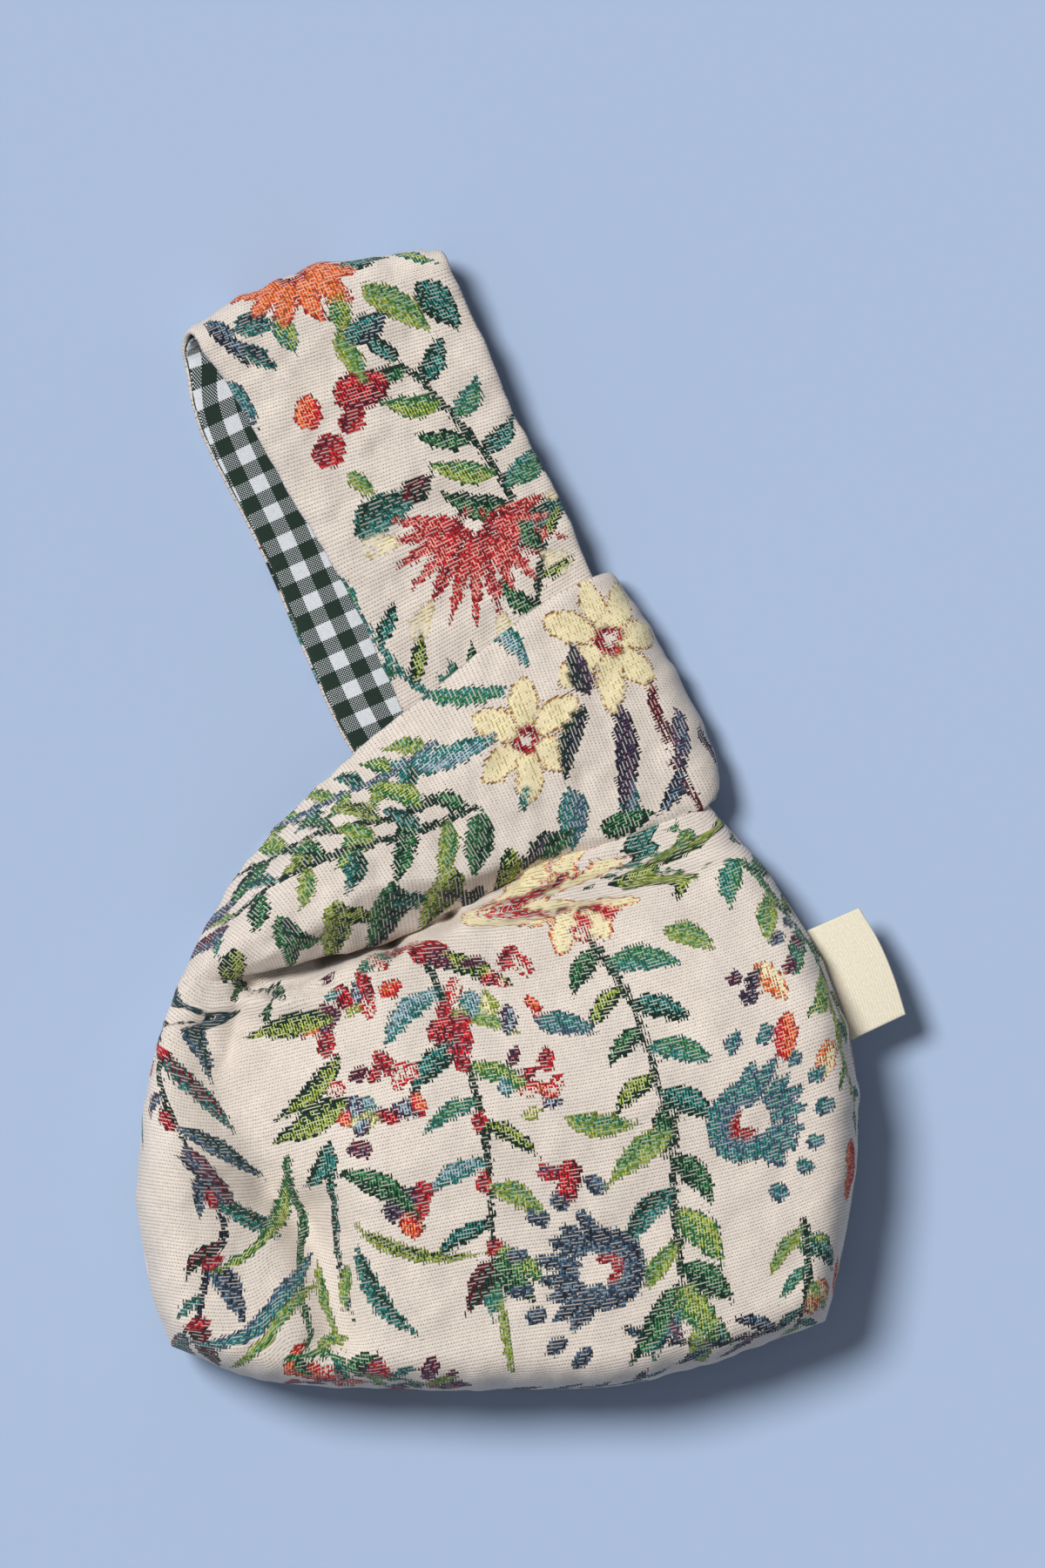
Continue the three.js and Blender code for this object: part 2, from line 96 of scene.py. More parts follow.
# Long loop: left x, y, right x, y, height, crown
LONG_FRONT = [
    (-12, -10, 49, 10, 15.5, 0.7),
    (-24, 11.3, 39.5, 38, 15.5, 0.5),
    (-35.5, 31.9, 24, 66.1, 16.5, 0.5),
    (-51.5, 66.3, 10.7, 96.8, 18, 1),
    (-71.6, 100.5, -2.7, 122.2, 18, 1.5),
    (-87.6, 129, -14.5, 150, 18, 1),
    (-97.5, 143, -23, 167.5, 19, 0.3),
]
LONG_BACK = [
    (-103, 139.5, -27, 163, REST, 0),
    (-98, 118, -31, 150, REST, 0),
    (-79.3, 80.8, -14.7, 110.1, REST, 0),
    (-64.9, 47.4, 0, 76.8, 2.1, 0.3),
    (-51.5, 19.9, 14.7, 47.4, 3.6, 0.3),
    (-31, -5, 33, 26, 3.6, 0.2),
    (-12, -24, 49, 10, 3.8, 0),
]
# Short loop: outer edge, crown, crest and foot of its lower fold, each as x, y, z,
# and how far the cloth then turns in underneath
SHORT_FRONT = [
    (-103.3, -49.3, 20, -98, -49, 28, -91, -48.5, 29, -88, -48.3, 28.5, -1),
    (-94.5, -31, 17, -85.5, -36, 34, -76.5, -41.5, 35, -75, -45.5, 30, 2),
    (-79, -8.5, 16.5, -69, -17, 35, -60, -31, 39, -57.7, -41.6, 28, 5),
    (-62.5, 8.5, 17, -52, -4.5, 34, -42, -20.5, 38.5, -40, -37.3, 24.5, 5),
    (-47.5, 22, 19, -33.5, 2.5, 30, -19.5, -18.5, 35, -18.7, -27, 22, 4.5),
    (-27, 38.3, 20.5, -13.5, 13, 27, -0.5, -12.5, 28.5, 0, -17, 21.5, 4),
    (-7, 54.4, 21, 5, 23.5, 24.5, 17, -7.5, 24.5, 17.4, -10.5, 21.3, 3),
    (8.5, 66.2, 20.5, 22, 32, 22.8, 35.5, -2.5, 22.5, 36, -4.9, 20.6, 2),
    (19.5, 71.5, 19.3, 34.5, 38, 21, 50, 3.5, 21, 51.5, 1, 19.6, 1),
]
SHORT_BACK = [
    (20, 70, REST, 51, 2.5, REST),
    (8, 63, REST, 39, -1.5, REST),
    (-20, 43, REST, 10, -12, REST),
    (-47, 21.5, REST, -19, -24, REST),
    (-72, -1, REST, -51, -37.5, REST),
    (-91, -25.5, 5, -73, -45, REST),
    (-103.3, -49.3, 19.6, -86.8, -50, REST),
]
SHORT_RIM = 15.0  # width of the rounded outer rim of the short loop's back
LONG_END = (7.0, 7.0)  # how far a loop's end stands out, and how much it bows
SHORT_END = (8.0, 6.0)
END_ROUNDNESS = 0.8
EDGE_TURN = 1.2  # how far the long loop's front layer turns down at its edges
EDGE_POWER = 16  # the higher, the narrower is what turns down
LOW_LAYER = 5  # a layer that lies below this height doesn't turn down
TUCK_FALL = 0.35  # of the short loop's tucked cloth, for each millimetre in
LONG_SEAM = 22 / 175  # share of each loop's back at which its seam lies
SHORT_SEAM = 12 / 175

ROOT_COLUMNS, MOUTH_COLUMNS, LONG_COLUMNS = 50, 80, 56
BODY_ROWS = 138
SHORT_ROWS, LONG_ROWS = 128, 160  # of each loop's front layer
END_ROWS = 16
SHORT_BEHIND_ROWS, LONG_BEHIND_ROWS = 8, 16  # from a loop's end to its seam
BLEND_ROWS = 22  # over which a loop takes over from the body
BODY_WIDTH, BODY_LENGTH, BODY_RISE = 217, 165, 30  # for the spacing of rows and columns
BAND_MARKS = (0, 0.38, 0.76, 0.93, 1)  # shares of the columns at the marks of SHORT_FRONT
WRINKLED_FROM, WRINKLED_OVER = -45, 12  # where up the drawing the loops get more wrinkles


def mix(a, b, share):
    """a plus the share of the step from a to b."""
    return a + (b - a) * share


def smooth(value):
    """Three squares less two cubes of a value that is kept from nought to one."""
    value = np.clip(value, 0, 1)
    return value * value * (3 - 2 * value)


def quarter_round(share, power=2):
    """Height of a quarter circle at a share of the way in from its foot, or of a fuller
    curve with a higher power."""
    return (1 - (1 - np.clip(share, 0, 1)) ** power) ** (1 / power)


def lesser(a, b):
    """The lesser of two shares, their product over their sum less their product."""
    return a * b / np.maximum(a + b - a * b, 1e-6)


def curve(a, b, c, d, t):
    """A share of the way from b to c on a cubic, its slope at each end half the step from
    the value before that end to the value after it."""
    return b + t / 2 * (c - a + t * (2 * a - 5 * b + 4 * c - d + t * (3 * (b - c) + d - a)))


def along(table, share):
    """Reads a table at shares of the way down its rows, on the curve through them all."""
    rows = np.array(table, float)
    rows = np.vstack([2 * rows[0] - rows[1], rows, 2 * rows[-1] - rows[-2]])
    place = np.clip(share, 0, 1) * (len(table) - 1)
    first = np.minimum(np.floor(place).astype(int), len(table) - 2)
    return curve(*(rows[first + k] for k in range(4)), (place - first)[..., None])


def body_plan(u, v, top):
    """Plan of a body panel: its bottom and top blended upwards, plus its two sides
    blended across, less the blend of its four corners."""
    left, right = along(LEFT_SIDE, v), along(RIGHT_SIDE, v)
    low, high = along(BOTTOM, u), along([row[:2] for row in top], u)
    across, up = u[..., None], v[..., None]
    corners = [np.array(row[:2], float) for row in (BOTTOM[0], BOTTOM[-1], top[0], top[-1])]
    flat = mix(mix(*corners[:2], across), mix(*corners[2:], across), up)
    plan = mix(low, high, up) + mix(left, right, across) - flat
    return plan, (right - left)[..., 0], (high - low)[..., 1]


def rim_rise(u, v, width, height, roll, power=2):
    """How far the cloth has risen from its seam: a quarter circle of the distance in
    from the nearest rim, as a share of that rim's width."""
    across = lesser(np.clip(u * width / roll[0], 0, 1), np.clip((1 - u) * width / roll[1], 0, 1))
    return quarter_round(lesser(across, np.clip(v * height / roll[2], 0, 1)), power)


def seam_height(u, v, parted):
    """Level round the left and the bottom, down the right side from halfway up to its
    end, and on to where the panels part."""
    low = mix(SEAM_HEIGHT, RIGHT_SEAM_LOW, smooth((v - 0.5) / (RIGHT_SEAM_END - 0.5)))
    end = smooth((v - RIGHT_SEAM_END) / (1 - RIGHT_SEAM_END))
    return mix(SEAM_HEIGHT, mix(low, parted, end), u)


def sunk_by(creases, x, y):
    """Depth of soft creases: each a bell curve of the distance from its line."""
    sunk = np.zeros_like(x)
    for x0, y0, x1, y1, width, depth in creases:
        dx, dy = x1 - x0, y1 - y0
        share = np.clip(((x - x0) * dx + (y - y0) * dy) / (dx * dx + dy * dy), 0, 1)
        away = np.hypot(x - x0 - share * dx, y - y0 - share * dy)
        sunk += depth * np.exp(-((away / width) ** 2))
    return sunk


def front_body(u, v):
    """A belly that falls to the seams in rounded rims, and to a lip and the mouth."""
    plan, width, height = body_plan(u, v, FRONT_TOP)
    top = along(FRONT_TOP, u)
    belly = BELLY_HEIGHT - BELLY_FALL * (2 * u - 1) ** 2
    lip = top[..., 4]
    to_lip = mix(belly, top[..., 3], smooth((v / lip - 0.5) / 0.5))
    power = mix(*LIP_POWERS, smooth((u - LIP_CHANGE[0]) / LIP_CHANGE[1]))
    past = (np.maximum(v - lip, 0) / (1 - lip)) ** power
    crown = np.where(v < lip, to_lip, mix(top[..., 3], top[..., 2], past))
    rise = rim_rise(u, v, width, height, FRONT_ROLL, FULLNESS)
    seam = seam_height(u, v, top[..., 2]) + SEAM_SPLIT / 2
    sunk = sunk_by(CREASES, plan[..., 0], plan[..., 1]) * rise
    return np.concatenate([plan, (mix(seam, crown, rise) - sunk)[..., None]], -1)


def long_section(table, share, t, inset=0.0):
    """Straight across from the left edge to the right, with a half sine for its crown.
    The edges of a layer that lies high turn down, by a power of the way from its middle."""
    row = along(table, share)
    x, y = mix(row[..., 0], row[..., 2], t), mix(row[..., 1], row[..., 3], t)
    turned_down = EDGE_TURN * np.abs(2 * t - 1) ** EDGE_POWER * (row[..., 4] > LOW_LAYER)
    z = np.maximum(row[..., 4], REST) + row[..., 5] * np.sin(t * np.pi) - turned_down
    return np.stack([x, y, z + inset], -1)


def short_front(share, t):
    """The curve across the band through outer edge, crown, crest, foot and tuck, with a
    crisp fold at its crest."""
    row = along(SHORT_FRONT, share)
    outer, foot, tuck = row[..., 0:3], row[..., 9:12], row[..., 12:13]
    inward = (outer - foot)[..., :2]
    inward = inward / np.linalg.norm(inward, axis=-1, keepdims=True)
    tucked = foot + np.concatenate([inward * tuck, -TUCK_FALL * np.maximum(tuck, 0)], -1)
    crown, crest = row[..., 3:6], row[..., 6:9]
    marks = np.stack([2 * outer - crown, outer, crown, crest, 2 * crest - crown,
                      2 * crest - foot, crest, foot, tucked, 2 * tucked - foot])
    place = t * 4
    segment = np.minimum(np.floor(place).astype(int), 3)
    first = segment + 3 * (segment > 1)
    rows, columns = np.indices(t.shape)
    line = curve(*(marks[first + i, rows, columns] for i in range(4)), (place - segment)[..., None])
    line[:, 1:-1] = line[:, 1:-1] / 2 + line[:, :-2] / 4 + line[:, 2:] / 4
    return line


def short_back(share, t):
    """Straight across, from a rounded outer rim down to the surface."""
    row = along(SHORT_BACK, share)
    width = np.hypot(row[..., 3] - row[..., 0], row[..., 4] - row[..., 1])
    x, y = mix(row[..., 0], row[..., 3], t), mix(row[..., 1], row[..., 4], t)
    z = mix(row[..., 2], row[..., 5], quarter_round(t * width / SHORT_RIM))
    return np.stack([x, y, np.maximum(z, REST)], -1)


def loop_end(last, first, t, turn, end):
    """From the last row of one layer to the first of the next, by the cosine of half a
    turn, standing out by its sine in a bow across the strap."""
    outward = np.array([last[0, 1] - last[-1, 1], last[-1, 0] - last[0, 0], 0])
    outward = outward / np.linalg.norm(outward)
    angle = turn[:, None] * np.pi
    out = (end[0] + end[1] * np.sin(t * np.pi)) * np.sin(angle) ** END_ROUNDNESS
    between = mix(last[None], first[None], ((1 - np.cos(angle)) / 2)[..., None])
    return between + out[..., None] * outward


def even_steps(edges, counts, width, rise, roll_low, roll_high):
    """Shares that lie evenly along a section of the body: the running length of a level
    line between two quarter-round rims, read back at even steps between the edges."""
    fine = 0.5 - 0.5 * np.cos(np.linspace(0, np.pi, 8001))
    rims = lesser(*(np.clip(away * width / roll, 0, 1)
                    for away, roll in ((fine, roll_low), (1 - fine, roll_high))))
    run = np.hypot(np.diff(fine) * width, np.diff(rise * quarter_round(rims)))
    run = np.concatenate([[0], np.cumsum(run)])
    marks = np.interp(edges, fine, run)
    steps = [np.linspace(a, b, n + 1)[1:] for a, b, n in zip(marks, marks[1:], counts)]
    return np.interp(np.concatenate([marks[:1], *steps]), run, fine)


def rooted(strap, edge):
    """Adds to a strap's first rows the step to the body's edge, fading as it goes."""
    fade = 1 - smooth(np.arange(len(strap)) / BLEND_ROWS)
    return strap + fade.reshape(-1, *[1] * (strap.ndim - 1)) * (edge - strap[0])


def spread_columns(root, even, rows):
    """Shares across a strap, from those of the body's columns to even ones."""
    return mix(root[None], even[None], smooth(np.arange(rows)[:, None] / BLEND_ROWS))


def body_lay(points):
    """Place in the flat cloth of each point of a body grid: weft by the length of its row
    from the middle column, warp by the length of its column from a row above the middle."""
    lay = []
    for way, share in ((1, 0.5), (0, 0.6)):
        steps = np.linalg.norm(np.diff(points, axis=way), axis=-1)
        run = np.insert(steps.cumsum(way), 0, 0, axis=way)
        lay.append(run - run.take([int(run.shape[way] * share)], way))
    return np.stack(lay, -1)


def strap_lay(points, edge_lay=None):
    """Place in the flat cloth of each point of a strap grid: across by the length of its
    row from the middle, along by the length of its middle line, from the body's edge."""
    across = np.linalg.norm(np.diff(points, axis=1), axis=-1).cumsum(axis=1)
    across = np.insert(across, 0, 0, axis=1)
    across = across - across[:, -1:] / 2
    middle = points[:, points.shape[1] // 2]
    run = np.insert(np.linalg.norm(np.diff(middle, axis=0), axis=-1).cumsum(), 0, 0)
    lay = np.stack([across, np.broadcast_to(run[:, None], across.shape)], -1)
    if edge_lay is None:
        return lay
    return rooted(lay + edge_lay.mean(0), edge_lay)


def joined(body, loops):
    """One numbered net from a body grid and strap grids whose first rows are the body's
    top columns from each start on: all points, and the four corners of each cell."""
    points, net = [body.reshape(-1, body.shape[-1])], []
    numbers = np.arange(body.shape[0] * body.shape[1]).reshape(body.shape[:2])
    grids = [numbers]
    count = numbers.size
    for strap, start in loops:
        own = np.arange(strap[1:].shape[0] * strap.shape[1]).reshape(-1, strap.shape[1])
        grids.append(np.vstack([numbers[-1, start:start + strap.shape[1]], own + count]))
        points.append(strap[1:].reshape(-1, strap.shape[-1]))
        count += own.size
    for grid in grids:
        corners = [grid[:-1, :-1], grid[:-1, 1:], grid[1:, 1:], grid[1:, :-1]]
        net.append(np.stack(corners, -1).reshape(-1, 4))
    return np.concatenate(points), np.concatenate(net)


def facing(points, net):
    """Direction that the cloth faces at each point: the crossed diagonals of the cells
    around it, added up and brought to length one."""
    diagonals = np.cross(points[net[:, 2]] - points[net[:, 0]], points[net[:, 3]] - points[net[:, 1]])
    total = np.zeros_like(points)
    for corner in range(4):
        np.add.at(total, net[:, corner], diagonals)
    return total / np.maximum(np.linalg.norm(total, axis=1, keepdims=True), 1e-9)


def unevenness(x, y, seed, longest, count=40):
    """Soft puckers of cloth: a sum of plane waves in all directions, from a third of the
    longest up to it in length, each as high as it is long, scaled to about one."""
    chances = np.random.default_rng(seed)
    total = np.zeros_like(x)
    for way, share, start in chances.uniform(0, 1, (count, 3)):
        length = longest * 3 ** -share
        angle, phase = 2 * np.pi * way, 2 * np.pi * start
        total += length / longest * np.sin(
            2 * np.pi * (x * np.cos(angle) + y * np.sin(angle)) / length + phase)
    return total * 1.9 / np.sqrt(count)


def free_edges(net):
    """The sides of cells that no other cell shares, as pairs of points in order."""
    sides = np.concatenate([net[:, [i, (i + 1) % 4]] for i in range(4)])
    size = int(net.max()) + 1
    codes = sides[:, 0].astype(np.int64) * size + sides[:, 1]
    back = sides[:, 1].astype(np.int64) * size + sides[:, 0]
    return sides[~np.isin(back, codes)]


def into_scene(name, data):
    """A new object that holds the data, linked to the scene."""
    made = bpy.data.objects.new(name, data)
    bpy.context.scene.collection.objects.link(made)
    return made


def sewn_sheet(name, points, net, lay, thickness, materials):
    """A closed sheet of cloth. The outer face is the middle surface plus half the
    thickness, the inner face the middle less half, and a rounded rim joins them, out
    from each free edge by half the thickness. Its map is the cloth laid flat."""
    normal = facing(points, net)
    sides = free_edges(net)
    outward = np.zeros_like(points)
    out = np.cross(points[sides[:, 1]] - points[sides[:, 0]], normal[sides[:, 0]])
    np.add.at(outward, sides[:, 0], out)
    np.add.at(outward, sides[:, 1], out)
    border = np.unique(sides)
    rim = outward[border] / np.maximum(np.linalg.norm(outward[border], axis=1, keepdims=True), 1e-9)
    half = thickness / 2
    shell = [points + normal * half, points[border] + rim * half, points - normal * half]
    count = len(points)
    at_rim = np.zeros(count, int)
    at_rim[border] = np.arange(len(border)) + count
    inner = net[:, ::-1] + count + len(border)
    a, b = sides.T
    walls = [np.stack([b, a, at_rim[a], at_rim[b]], 1),
             np.stack([at_rim[b], at_rim[a], a + count + len(border), b + count + len(border)], 1)]
    faces = np.concatenate([net, *walls, inner])
    mesh = bpy.data.meshes.new(name)
    places = np.concatenate(shell) + (*TO_FRAME, 0)
    mesh.from_pydata(places * MM, [], faces.tolist())
    mesh.shade_smooth()
    source = np.concatenate([np.arange(count), border, np.arange(count)])
    corner_points = np.zeros(len(mesh.loops), np.int32)
    mesh.loops.foreach_get("vertex_index", corner_points)
    flat = mesh.uv_layers.new(name="cloth laid flat")
    flat.uv.foreach_set("vector", lay[source][corner_points].astype(np.float32).ravel())
    for material in materials:
        mesh.materials.append(material)
    is_inner = np.arange(len(faces)) >= len(faces) - len(inner)
    mesh.polygons.foreach_set("material_index", is_inner.astype(np.int32) * (len(materials) - 1))
    return into_scene(name, mesh), source


body_columns = even_steps((0, ROOT_END, MOUTH_END, 1), (ROOT_COLUMNS, MOUTH_COLUMNS, LONG_COLUMNS),
                          BODY_WIDTH, BODY_RISE, *FRONT_ROLL[:2])
# Half the steps of a section that is twice as long, so that only its low end has a rim
body_rows = 2 * even_steps((0, 1), (2 * BODY_ROWS,), 2 * BODY_LENGTH, BODY_RISE,
                           *[FRONT_ROLL[2]] * 2)[:BODY_ROWS + 1]
LONG_START = ROOT_COLUMNS + MOUTH_COLUMNS
root_across = body_columns[:ROOT_COLUMNS + 1] / ROOT_END
long_across = (body_columns[LONG_START:] - MOUTH_END) / (1 - MOUTH_END)
band_across = np.interp(np.linspace(0, 1, ROOT_COLUMNS + 1), BAND_MARKS, np.linspace(0, 1, 5))
even_across = np.linspace(0, 1, LONG_COLUMNS + 1)


def down(rows, like):
    """Shares down a strap of some rows, the same in all the columns of a grid like it."""
    return np.linspace(0, 1, rows + 1)[:, None] * np.ones_like(like)


def front_points():
    """Grids of the front panel on the middle of its cloth: body, short and long loop."""
    u, v = np.meshgrid(body_columns, body_rows)
    body = front_body(u, v)
    t = spread_columns(root_across, band_across, SHORT_ROWS + 1)
    over = short_front(down(SHORT_ROWS, t), t)
    turn = np.linspace(0, 1, END_ROWS + 1)[1:]
    s, t = np.meshgrid(np.linspace(0, SHORT_SEAM, SHORT_BEHIND_ROWS + 1), band_across, indexing="ij")
    behind = short_back(s, t)
    end = loop_end(over[-1], behind[0], band_across, turn, SHORT_END)
    short = rooted(np.concatenate([over, end, behind[1:]]), body[-1, :ROOT_COLUMNS + 1])
    t = spread_columns(long_across, even_across, LONG_ROWS + 1)
    over = long_section(LONG_FRONT, down(LONG_ROWS, t), t)
    s, t = np.meshgrid(np.linspace(0, LONG_SEAM, LONG_BEHIND_ROWS + 1), even_across, indexing="ij")
    behind = long_section(LONG_BACK, s, t)
    end = loop_end(over[-1], behind[0], even_across, turn, LONG_END)
    long = rooted(np.concatenate([over, end, behind[1:]]), body[-1, LONG_START:])
    for strap in (short, long):
        strap[..., 2] = np.maximum(strap[..., 2], REST)
    return body, short, long


front_body_grid, front_short_grid, front_long_grid = front_points()
front_body_lay = body_lay(front_body_grid)
front_lays = [strap_lay(front_short_grid, front_body_lay[-1, :ROOT_COLUMNS + 1]),
              strap_lay(front_long_grid, front_body_lay[-1, LONG_START:])]
front_middle, front_net = joined(front_body_grid, [(front_short_grid, 0), (front_long_grid, LONG_START)])
across, up = front_middle[:, :2].T
on_loop = np.arange(len(up)) >= front_body_grid[..., 0].size
on_loop = smooth((up - WRINKLED_FROM) / WRINKLED_OVER) * on_loop
# Wrinkles, each as height, where, seed of its waves, and length of the longest
wrinkles = ((0.3, 1, 5, 30), (0.12, 1, 6, 11), (0.3, on_loop, 7, 16))
pucker = sum(height * where * unevenness(across, up, seed, longest)
             for height, where, seed, longest in wrinkles)
front_middle = front_middle + facing(front_middle, front_net) * pucker[:, None]
front_middle[:, 2] = np.maximum(front_middle[:, 2], REST)
front_lay, _ = joined(front_body_lay, [(front_lays[0], 0), (front_lays[1], LONG_START)])

# Yarns of the tapestry, as sRGB
YARNS = {
    "pine": "#18372c", "fern": "#3d7a4d", "lime": "#9bab48", "teal": "#357f78",
    "slate": "#4f6a80", "night": "#252b3a", "wine": "#651b2b", "red": "#cb2a31",
    "orange": "#ea7440", "straw": "#f3e3b2", "plum": "#4f3a55", "sky": "#8aa7b3",
    "cream": "#e0d4c3", "rose": "#dd8074", "ochre": "#cf9a58",
}
CREAM = "#ded2c6"
YARN_NAMES = list(YARNS)
# How a woven shape widens from its foot and narrows to its tip, as two powers
LEAF, PETAL, BERRY, STALK = (0.8, 1.25), (1.1, 0.55), (0.5, 0.6), (0.08, 0.3)
OUT = 2  # a shape whose yarns change from its foot to its tip, not from side to side
EDGED = 3  # a shape of its second yarn, edged with its first
BARE = -9.0  # how far inside a shape the bare ground counts as being
HIDES = 0.3  # how far inside it, in millimetres, a shape hides those below
LOOK_STEP = 0.2  # millimetres, over which the slope of a shape is measured


def linear(hex_colour):
    """An sRGB hex colour as linear red, green, blue and a full alpha."""
    parts = np.array([int(hex_colour[i:i + 2], 16) for i in (1, 3, 5)]) / 255
    return (*np.where(parts <= 0.04045, parts / 12.92, ((parts + 0.055) / 1.055) ** 2.4), 1.0)


def blade(x, y, turn, length, width, yarns, bend=0, form=LEAF, side=1):
    """One woven shape: a spine from x, y that bows sideways by bend, its two yarns, its
    form, and the side that has the second yarn."""
    numbers = [YARN_NAMES.index(yarn) for yarn in yarns.split()]
    return [(x, y, turn, length, width, bend, *form, side, *numbers)]


def blade_field(place, x, y, turn, length, width, bend, rise, fall, side):
    """How far inside a shape each place is, its half width there less the distance from
    its bowed spine, and its share of the way from the first yarn to the second."""
    angle = np.radians(turn)
    dx, dy = place[:, 0] - x, place[:, 1] - y
    run = (dx * np.cos(angle) + dy * np.sin(angle)) / length
    t = np.clip(run, 0, 1)
    off = dy * np.cos(angle) - dx * np.sin(angle) - 4 * bend * t * (1 - t)
    widest = rise / (rise + fall)
    half = width / 2 * (t / widest) ** rise * ((1 - t) / (1 - widest)) ** fall
    inside = half - np.abs(off) - np.abs(run - t) * length
    across = 0.5 + 0.5 * side * off / np.maximum(half, 0.6)
    share = {OUT: t, EDGED: np.full_like(t, 2.0)}.get(side, across)
    return inside, np.clip(share, -0.2, 1.2)


def woven(lay, blades):
    """Lays shapes on flat cloth, later ones over earlier ones. Gives for each point how
    far inside its shape it is, the share between its yarns, both with their slopes
    across and along the cloth, and the yarns' numbers."""
    figure = np.tile((BARE, 0.0, 0.0), (len(lay), 1))
    shade = np.zeros((len(lay), 3))
    yarns = np.zeros((len(lay), 2), int)
    for *shape, first, second in blades:
        x, y, turn, length, width, bend = shape[:6]
        angle = np.radians(turn)
        middle = (x + np.cos(angle) * length / 2, y + np.sin(angle) * length / 2)
        reach = length / 2 + width / 2 + abs(bend) + 3
        near = np.flatnonzero(np.hypot(*(lay - middle).T) < reach)
        inside, share = blade_field(lay[near], *shape)
        slopes = [blade_field(lay[near] + step, *shape) for step in ((LOOK_STEP, 0), (0, LOOK_STEP))]
        over = (inside > figure[near, 0]) | (inside > HIDES)
        here = near[over]
        figure[here] = np.stack([inside, *((f - inside) / LOOK_STEP for f, _ in slopes)], 1)[over]
        shade[here] = np.stack([share, *((s - share) / LOOK_STEP for _, s in slopes)], 1)[over]
        yarns[here] = (first, second)
    return figure, shade, yarns


def dye(piece, source, lay, blades):
    """Stores the woven shapes of a sheet as attributes of its points."""
    figure, shade, yarns = woven(lay, blades)
    colours = np.array([linear(YARNS[name]) for name in YARN_NAMES])
    for name, values in (("figure", figure), ("shade", shade)):
        kept = piece.data.attributes.new(name, "FLOAT_VECTOR", "POINT")
        kept.data.foreach_set("vector", values[source].astype(np.float32).ravel())
    for i, name in enumerate(("first yarn", "second yarn")):
        kept = piece.data.attributes.new(name, "FLOAT_COLOR", "POINT")
        kept.data.foreach_set("color", colours[yarns[:, i]][source].astype(np.float32).ravel())


chance = np.random.default_rng(11)


def spray(x, y, turn, length, pairs, sizes, leaf_yarns, stalk="pine", bend=0,
          spreads=(48, 48), slim=0.34, fruit=None):
    """A bowed stalk with pairs of leaves that shorten towards its tip, their sizes and
    spreads given for the right hand and the left, and a tip leaf. The leaves' yarns are
    taken in turn. Where it bears fruit, an oval sits at the foot of each pair."""
    made = blade(x, y, turn, length, 2.2, f"{stalk} {stalk}", bend, STALK)
    leaf_yarns = leaf_yarns.split(", ")
    angle = np.radians(turn)
    for i in range(pairs):
        for k, hand in enumerate((-1, 1)):
            t = (i + 0.5 + 0.2 * hand) / pairs
            off = 4 * bend * t * (1 - t)
            px = x + np.cos(angle) * length * t - np.sin(angle) * off
            py = y + np.sin(angle) * length * t + np.cos(angle) * off
            heading = turn + np.degrees(np.arctan(4 * bend * (1 - 2 * t) / length))
            long = sizes[k] * (1.1 - 0.3 * t) * chance.uniform(0.85, 1.15)
            yarns = leaf_yarns[(2 * i + k) % len(leaf_yarns)]
            made += blade(px, py, heading + hand * (spreads[k] + chance.uniform(-8, 8)), long,
                          long * slim * chance.uniform(0.75, 0.98), yarns, hand * long * 0.08, LEAF, hand)
        if fruit:
            made += blade(px - 2, py - 2, chance.uniform(0, 90), 6.5, 4.6, fruit, 0, BERRY)
    tip = np.radians(turn - np.degrees(np.arctan(4 * bend / length)))
    made += blade(x + np.cos(angle) * length - np.cos(tip), y + np.sin(angle) * length - np.sin(tip),
                  np.degrees(tip), sizes[1] * 0.7, sizes[1] * 0.26, leaf_yarns[0])
    return made


def berries(x, y, count, reach, size, yarns):
    """Small ovals scattered round a point, in turn of each pair of yarns."""
    made, yarns = [], yarns.split(", ")
    for i in range(count):
        away, angle = reach * np.sqrt((i + 0.5) / count), i * 2.4 + chance.uniform(-0.4, 0.4)
        big = size * chance.uniform(0.75, 1.2)
        turn = chance.uniform(0, 180)
        px = x + np.cos(angle) * away - np.cos(np.radians(turn)) * big / 2
        py = y + np.sin(angle) * away - np.sin(np.radians(turn)) * big / 2
        made += blade(px, py, turn, big, big * 0.72, yarns[i % len(yarns)], 0, BERRY)
    return made


def ray(x, y, angle, away, *shape):
    """A woven shape that starts at a distance from x, y, at an angle in radians."""
    return blade(x + np.cos(angle) * away, y + np.sin(angle) * away, *shape)


def blossom(x, y, radius, petals, yarns, heart, start=0, fat=0.5, inner=0.2):
    """Petals spread all round a heart, with a ring of five ovals at the heart."""
    made = []
    for i in range(petals):
        turn = start + 360 * (i + 0.5) / petals + chance.uniform(-5, 5)
        long = radius * chance.uniform(0.86, 1.08)
        made += ray(x, y, np.radians(turn), radius * inner, turn, long * (1 - inner), radius * fat,
                    yarns, 0, (0.9, 0.8), EDGED)
    ring = radius * 0.2
    for turn in range(20, 360, 72):
        made += ray(x, y, np.radians(turn) - 0.6, ring, turn + 90, ring * 1.3, ring * 0.7, heart, 0,
                    BERRY)
    return made


